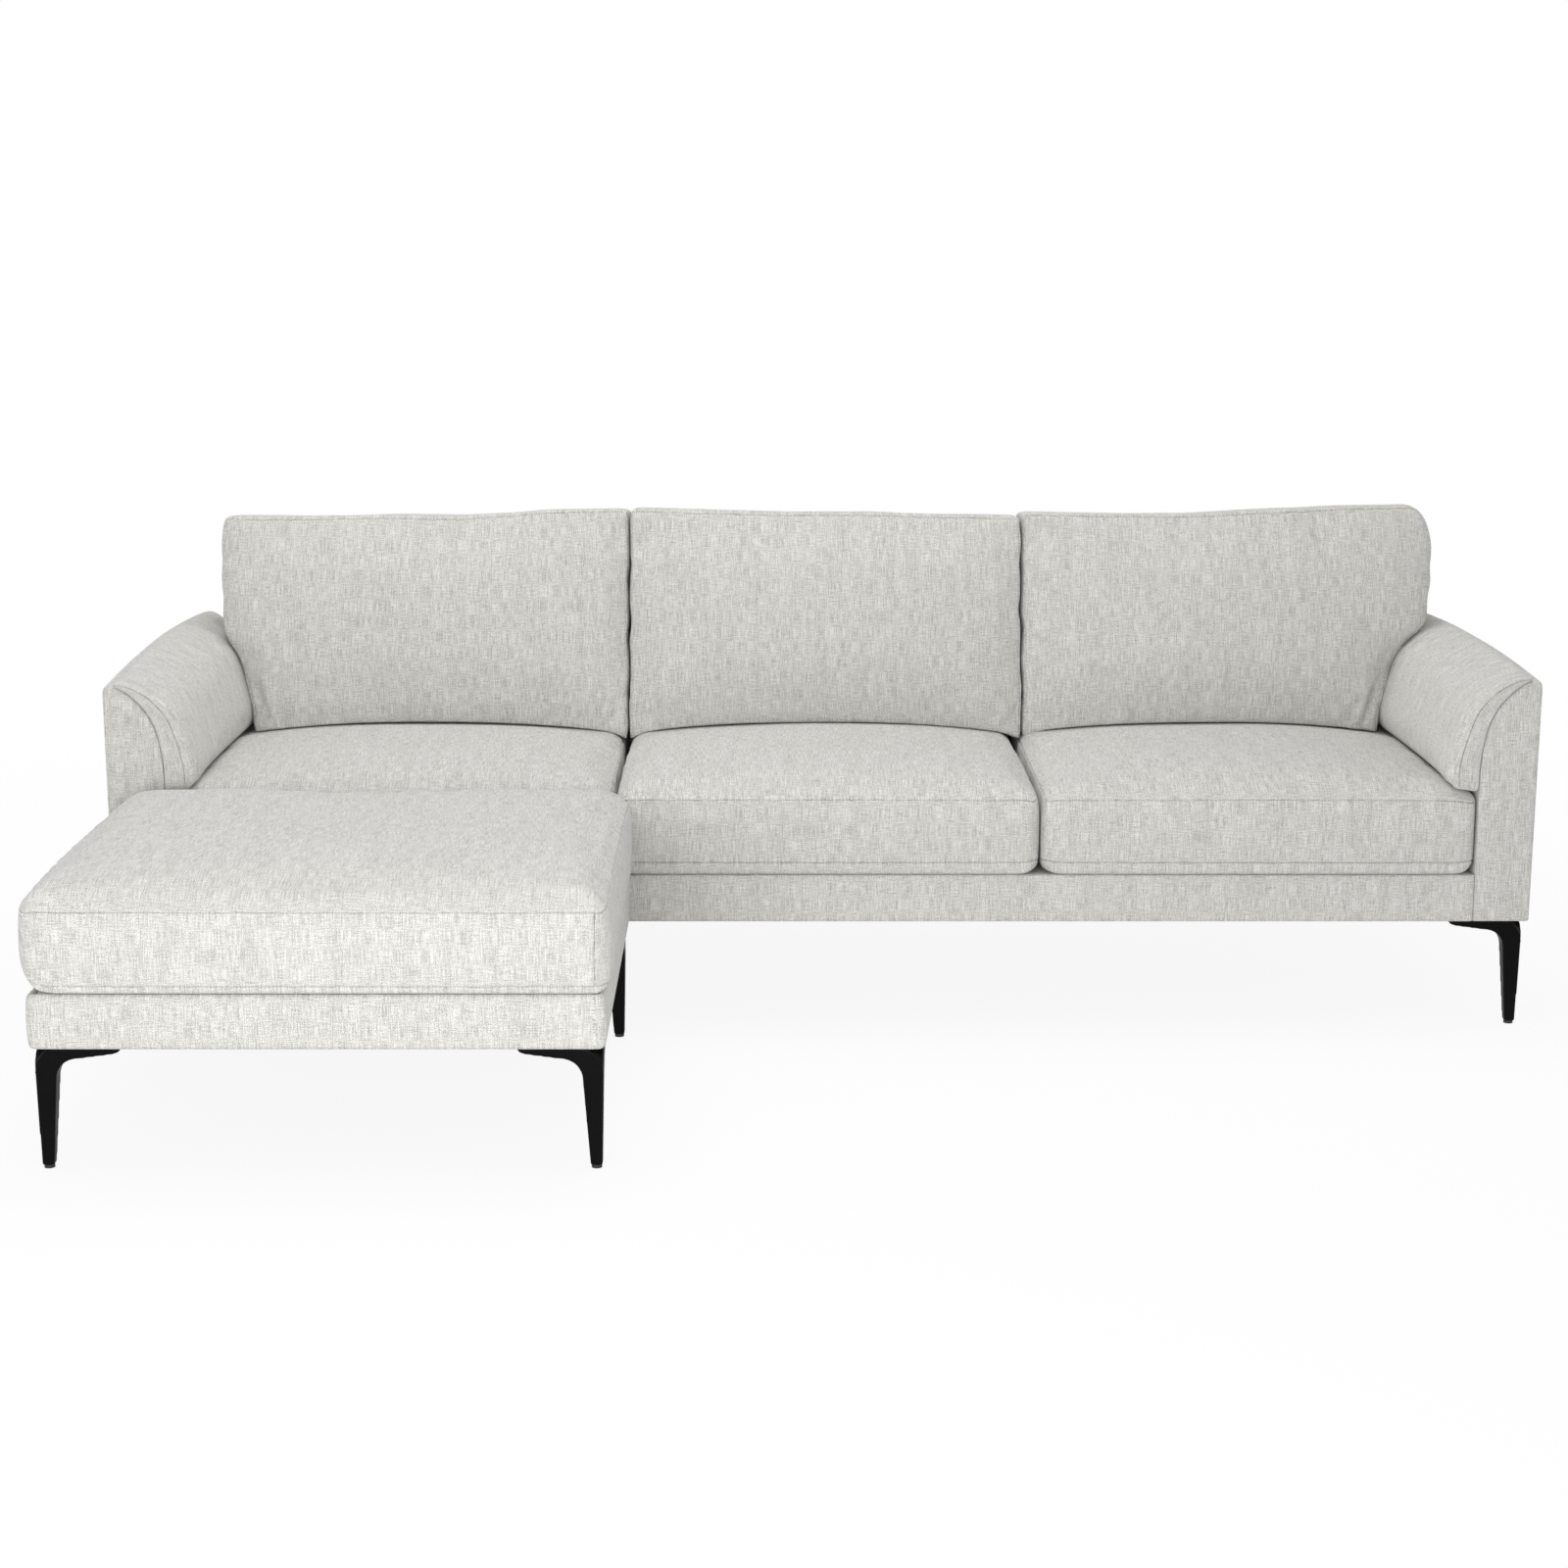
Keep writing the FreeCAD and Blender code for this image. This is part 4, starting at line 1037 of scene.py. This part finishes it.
def ring_border(name, low, high, corner, thickness, radius, body, *nodes):
    """A padded strip of cloth round a rectangular base, turned at its corners."""
    path = []
    left, right, front, rear = low.x + corner, high.x - corner, low.y + corner, high.y - corner
    for cx, cy, start in ((right, front, -90), (right, rear, 0), (left, rear, 90), (left, front, 180)):
        for i in range(BORDER_TURNS + 1):
            angle = math.radians(start + 90 * i / BORDER_TURNS)
            way = Vector((math.cos(angle), math.sin(angle), 0))
            path.append((Vector((cx, cy, 0)) + way * corner, way))
    runs = []
    for (p, way), (q, next_way) in zip(path, path[1:] + path[:1]):
        steps = max(1, round((q - p).length / BORDER_STEP))
        runs += [(p.lerp(q, i / steps), way.lerp(next_way, i / steps).normalized())
                 for i in range(steps)]
    height = high.z - low.z
    turn = radius * HALF_TURN
    profile = [(-thickness, 0.0), (-thickness / 2, 0.0), (-radius, 0.0), (-turn, turn)]
    profile += [(BORDER_SWELL * math.sin(math.pi * i / 6), radius + (height - 2 * radius) * i / 6)
                for i in range(7)]
    profile += [(-turn, height - turn), (-radius, height), (-thickness / 2, height),
                (-thickness, height)]
    points, faces, cloth = [], [], []
    for p, way in runs:
        for out, z in profile:
            points.append(p + way * out + Vector((0, 0, low.z + z)))
    reach = [0.0]
    for (p, _), (q, _) in zip(runs, runs[1:] + runs[:1]):
        reach.append(reach[-1] + (q - p).length)
    girth = [0.0]
    for (o, z), (o2, z2) in zip(profile, profile[1:] + profile[:1]):
        girth.append(girth[-1] + math.hypot(o2 - o, z2 - z))
    n, m = len(runs), len(profile)
    for i in range(n):
        for j in range(m):
            i2, j2 = (i + 1) % n, (j + 1) % m
            faces.append([i * m + j, i2 * m + j, i2 * m + j2, i * m + j2])
            cloth.append([(reach[i], girth[j]), (reach[i + 1], girth[j]),
                          (reach[i + 1], girth[j + 1]), (reach[i], girth[j + 1])])
    piece = mesh_piece(name, points, faces, cloth)
    return dressed(piece, body, "upholstery", WEAVE, *nodes)


def footstool():
    """The footstool's border and its loose cushion."""
    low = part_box("footstool_border_front")[0]
    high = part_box("footstool_border_rear")[1]
    ring_border("footstool_border", low, high, BORDER_CORNER, PADDING, BORDER_RADIUS, "footstool",
                *[f"footstool_border_{side}" for side in ("front", "rear", "left", "right")])
    low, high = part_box("footstool_cushion_cover")
    piece, shares, seam = box_cushion(
        "footstool_cushion", low, high, STOOL_EDGE, STOOL_CROWN, STOOL_POWERS, STOOL_SEAMS,
        lambda depth: STOOL_EDGES, (1.0, 1.0), 71.9, STOOL_BOW, (-STOOL_JOIN,))
    held = seam | (shares[:, 2] < NEAR)
    limits = space(low, high, *STOOL_SPACE)
    stuffed(piece, held, *BOX_FILLING, seam, (), limits, "footstool_cushion", "upholstery", WEAVE,
            "footstool_cushion_cover", "footstool_cushion_core")


# Cast legs

LEG_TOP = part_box("leg_front_left")[1].z
WING = 0.130
WING_TIP = 0.0125
WING_ROOT = 0.0195
BEND = 0.040
CROTCH = 0.032
POST = 0.031
FOOT = 0.018
LEAN = 0.003
ABOVE_GLIDE = 0.005
# The slanted tip of a wing: back from its end, and down as a share of its height
TIP_SLANT = ((0.005, 0.75), (0.014, 1.0))
CAST_GRAIN = 0.0020
CAST_SOFTENING = 4
QUARTER = [math.pi / 2 * i / 8 for i in range(9)]


def leg_outline():
    """Outline of one strip of a leg, out from its corner and up: post, bend, wing and crotch."""
    shoulder = LEG_TOP - WING_ROOT
    points = [(LEAN, ABOVE_GLIDE)]
    points += [(BEND * (1 - math.cos(t)), LEG_TOP - BEND * (1 - math.sin(t))) for t in QUARTER]
    points.append((WING, LEG_TOP))
    points += [(WING - back, LEG_TOP - WING_TIP * down) for back, down in TIP_SLANT]
    points += [(POST + CROTCH * (1 - math.sin(t)), shoulder - CROTCH * (1 - math.cos(t)))
               for t in QUARTER]
    return points + [(LEAN + FOOT, ABOVE_GLIDE)]


def taper(z, top):
    """How far down the post a height lies, from top to its foot."""
    return min(1.0, max(0.0, (top - z) / (top - ABOVE_GLIDE)))


def cast_leg():
    """Mesh of a leg with its outer corner at the origin: two strips cast as one, with soft edges."""
    outline = leg_outline()
    knee = LEG_TOP - WING_ROOT - CROTCH
    count = len(outline)
    points, faces = [], []
    for swap in (False, True):
        first = len(points)
        for side in (0, 1):
            for out, z in outline:
                if side:
                    depth = POST + (LEAN + FOOT - POST) * taper(z, knee)
                else:
                    depth = LEAN * taper(z, LEG_TOP - BEND)
                points.append((depth, out, z) if swap else (out, depth, z))
        near = [first + i for i in range(count)]
        far = [first + count + i for i in range(count)]
        faces += [near, far[::-1]]
        faces += [[near[i], far[i], far[(i + 1) % count], near[(i + 1) % count]] for i in range(count)]
    rough = mesh_piece("leg_pattern", points, faces)
    cast = rough.modifiers.new("cast", "REMESH")
    cast.mode = "VOXEL"
    cast.voxel_size = CAST_GRAIN
    graph = bpy.context.evaluated_depsgraph_get()
    body = bmesh.new()
    body.from_mesh(rough.evaluated_get(graph).data)
    bpy.data.objects.remove(rough)
    for _ in range(CAST_SOFTENING):
        bmesh.ops.smooth_vert(body, verts=body.verts, factor=0.5, use_axis_x=True, use_axis_y=True,
                              use_axis_z=True)
    points = [tuple(vertex.co) for vertex in body.verts]
    faces = [[vertex.index for vertex in face.verts] for face in body.faces]
    body.free()
    return points, faces


def legs():
    """A casting at each corner of the sofa and of the footstool, with its wings along their sides."""
    points, faces = cast_leg()
    for prefix, body in (("", "sofa"), ("footstool_", "footstool")):
        for end in ("front", "back"):
            for side in ("left", "right"):
                node = f"{prefix}leg_{end}_{side}"
                low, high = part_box(node)
                x, to_x = (low.x, 1) if side == "left" else (high.x, -1)
                y, to_y = (low.y, 1) if end == "front" else (high.y, -1)
                placed = [(x + to_x * p[0], y + to_y * p[1], p[2]) for p in points]
                piece = mesh_piece(node + "_casting", placed, faces)
                dressed(piece, body, "cast_metal", CASTING, node, divide=0)


# Carried-over parts

def carried_over():
    """Gives the frame's own parts that still show their finish."""
    for name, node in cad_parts.items():
        if node.hide_render:
            continue
        finish = GLIDE if "glides" in name else WEBBING if "webbing" in name else TIMBER
        node.data.materials.clear()
        node.data.materials.append(finish)


# Room

FLOOR_SIZE = 60.0
FLOOR_WHITE = 0.91
FLOOR_FADE = (1.2, 3.6)
SKY_LIGHT = 0.55
# Place, aim, width, height and watts
SOFTBOXES = {
    "overhead_softbox": ((-0.4, 0.9, 3.6), (-0.2, 0.1, 0.4), 3.0, 1.6, 32),
    "stool_softbox": ((-0.5, -0.5, 3.2), (-0.5, -0.5, 0.4), 2.0, 2.0, 17),
    "front_softbox": ((-0.6, -3.4, 0.9), (-0.5, 0, 0.3), 2.2, 1.2, 57),
    "rear_softbox": ((0.3, 4.6, 1.8), (0, 0.3, 0.4), 3.0, 1.8, 26),
    "right_softbox": ((4.6, 0.6, 1.6), (1.0, 0.3, 0.4), 2.0, 1.6, 12),
    "left_softbox": ((-4.6, 0.6, 1.6), (-1.0, 0.3, 0.4), 2.0, 1.6, 12),
}
LENS = 63.796
LENS_SHIFT = 0.014325
EYE = (-0.1036, -4.7363, 1.3951)
LOOK_DOWN = 11.6354


def seen(finish):
    """1 for what the camera sees, straight or in gloss and glass, 0 for what only lights the room."""
    camera_ray, glossy, through = [finish.node("ShaderNodeLightPath", output=name) for name in
                                   ("Is Camera Ray", "Is Glossy Ray", "Is Transmission Ray")]
    return camera_ray.sum("MAXIMUM", camera_ray.sum("MAXIMUM", camera_ray, glossy), through)


def room():
    """A studio floor and sky that are white in the picture and light the room less than they look."""
    bpy.ops.mesh.primitive_plane_add(size=FLOOR_SIZE, location=(0, 0, 0))
    floor = bpy.context.object
    floor.name = "studio_floor"
    finish = new_finish("studio_floor")
    tree = finish.tree
    tree.nodes.remove(tree.nodes["Principled BSDF"])
    matt = finish.node("ShaderNodeBsdfDiffuse", None, {"Color": (0.86, 0.86, 0.86, 1.0)})
    white = finish.node("ShaderNodeEmission", None, {"Color": (1, 1, 1, 1), "Strength": 1.0})
    spot = finish.node("ShaderNodeTexCoord", output="Object")
    away = finish.node("ShaderNodeVectorMath", {"operation": "LENGTH"}, {0: spot}, 1)
    share = FLOOR_WHITE + (1 - FLOOR_WHITE) * finish.between(away, *FLOOR_FADE)
    mixed = finish.node("ShaderNodeMixShader", None, {0: seen(finish) * share, 1: matt, 2: white})
    tree.links.new(mixed.socket, tree.nodes["Material Output"].inputs["Surface"])
    floor.data.materials.append(finish.owner)

    world = bpy.data.worlds.new("studio")
    bpy.context.scene.world = world
    sky = Finish(world)
    background = sky.tree.nodes["Background"]
    background.inputs["Color"].default_value = (1, 1, 1, 1)
    sky.feed(background.inputs["Strength"], seen(sky) * (1 - SKY_LIGHT) + SKY_LIGHT)


def softbox(name, place, aim, width, height, watts):
    light = bpy.data.lights.new(name, "AREA")
    light.shape = "RECTANGLE"
    light.size = width
    light.size_y = height
    light.energy = watts
    lamp = bpy.data.objects.new(name, light)
    bpy.context.scene.collection.objects.link(lamp)
    lamp.visible_camera = False
    lamp.location = place
    lamp.rotation_euler = (Vector(aim) - Vector(place)).to_track_quat("-Z", "Y").to_euler()


def lights():
    for name, (place, aim, width, height, watts) in SOFTBOXES.items():
        softbox(name, place, aim, width, height, watts)


def camera():
    """The camera, fitted to the straight edges of the photo."""
    lens = bpy.data.cameras.new("photo_camera")
    lens.sensor_width = 36.0
    lens.lens = LENS
    lens.shift_x = LENS_SHIFT
    view = bpy.data.objects.new("photo_camera", lens)
    bpy.context.scene.collection.objects.link(view)
    view.location = EYE
    view.rotation_euler = (math.radians(90 - LOOK_DOWN), 0, 0)
    bpy.context.scene.camera = view


camera()
room()
lights()
seat_cushions()
back_cushions()
arms()
borders()
linings()
footstool()
legs()
fill_covers()
carried_over()
bpy.context.scene.view_settings.view_transform = "Standard"
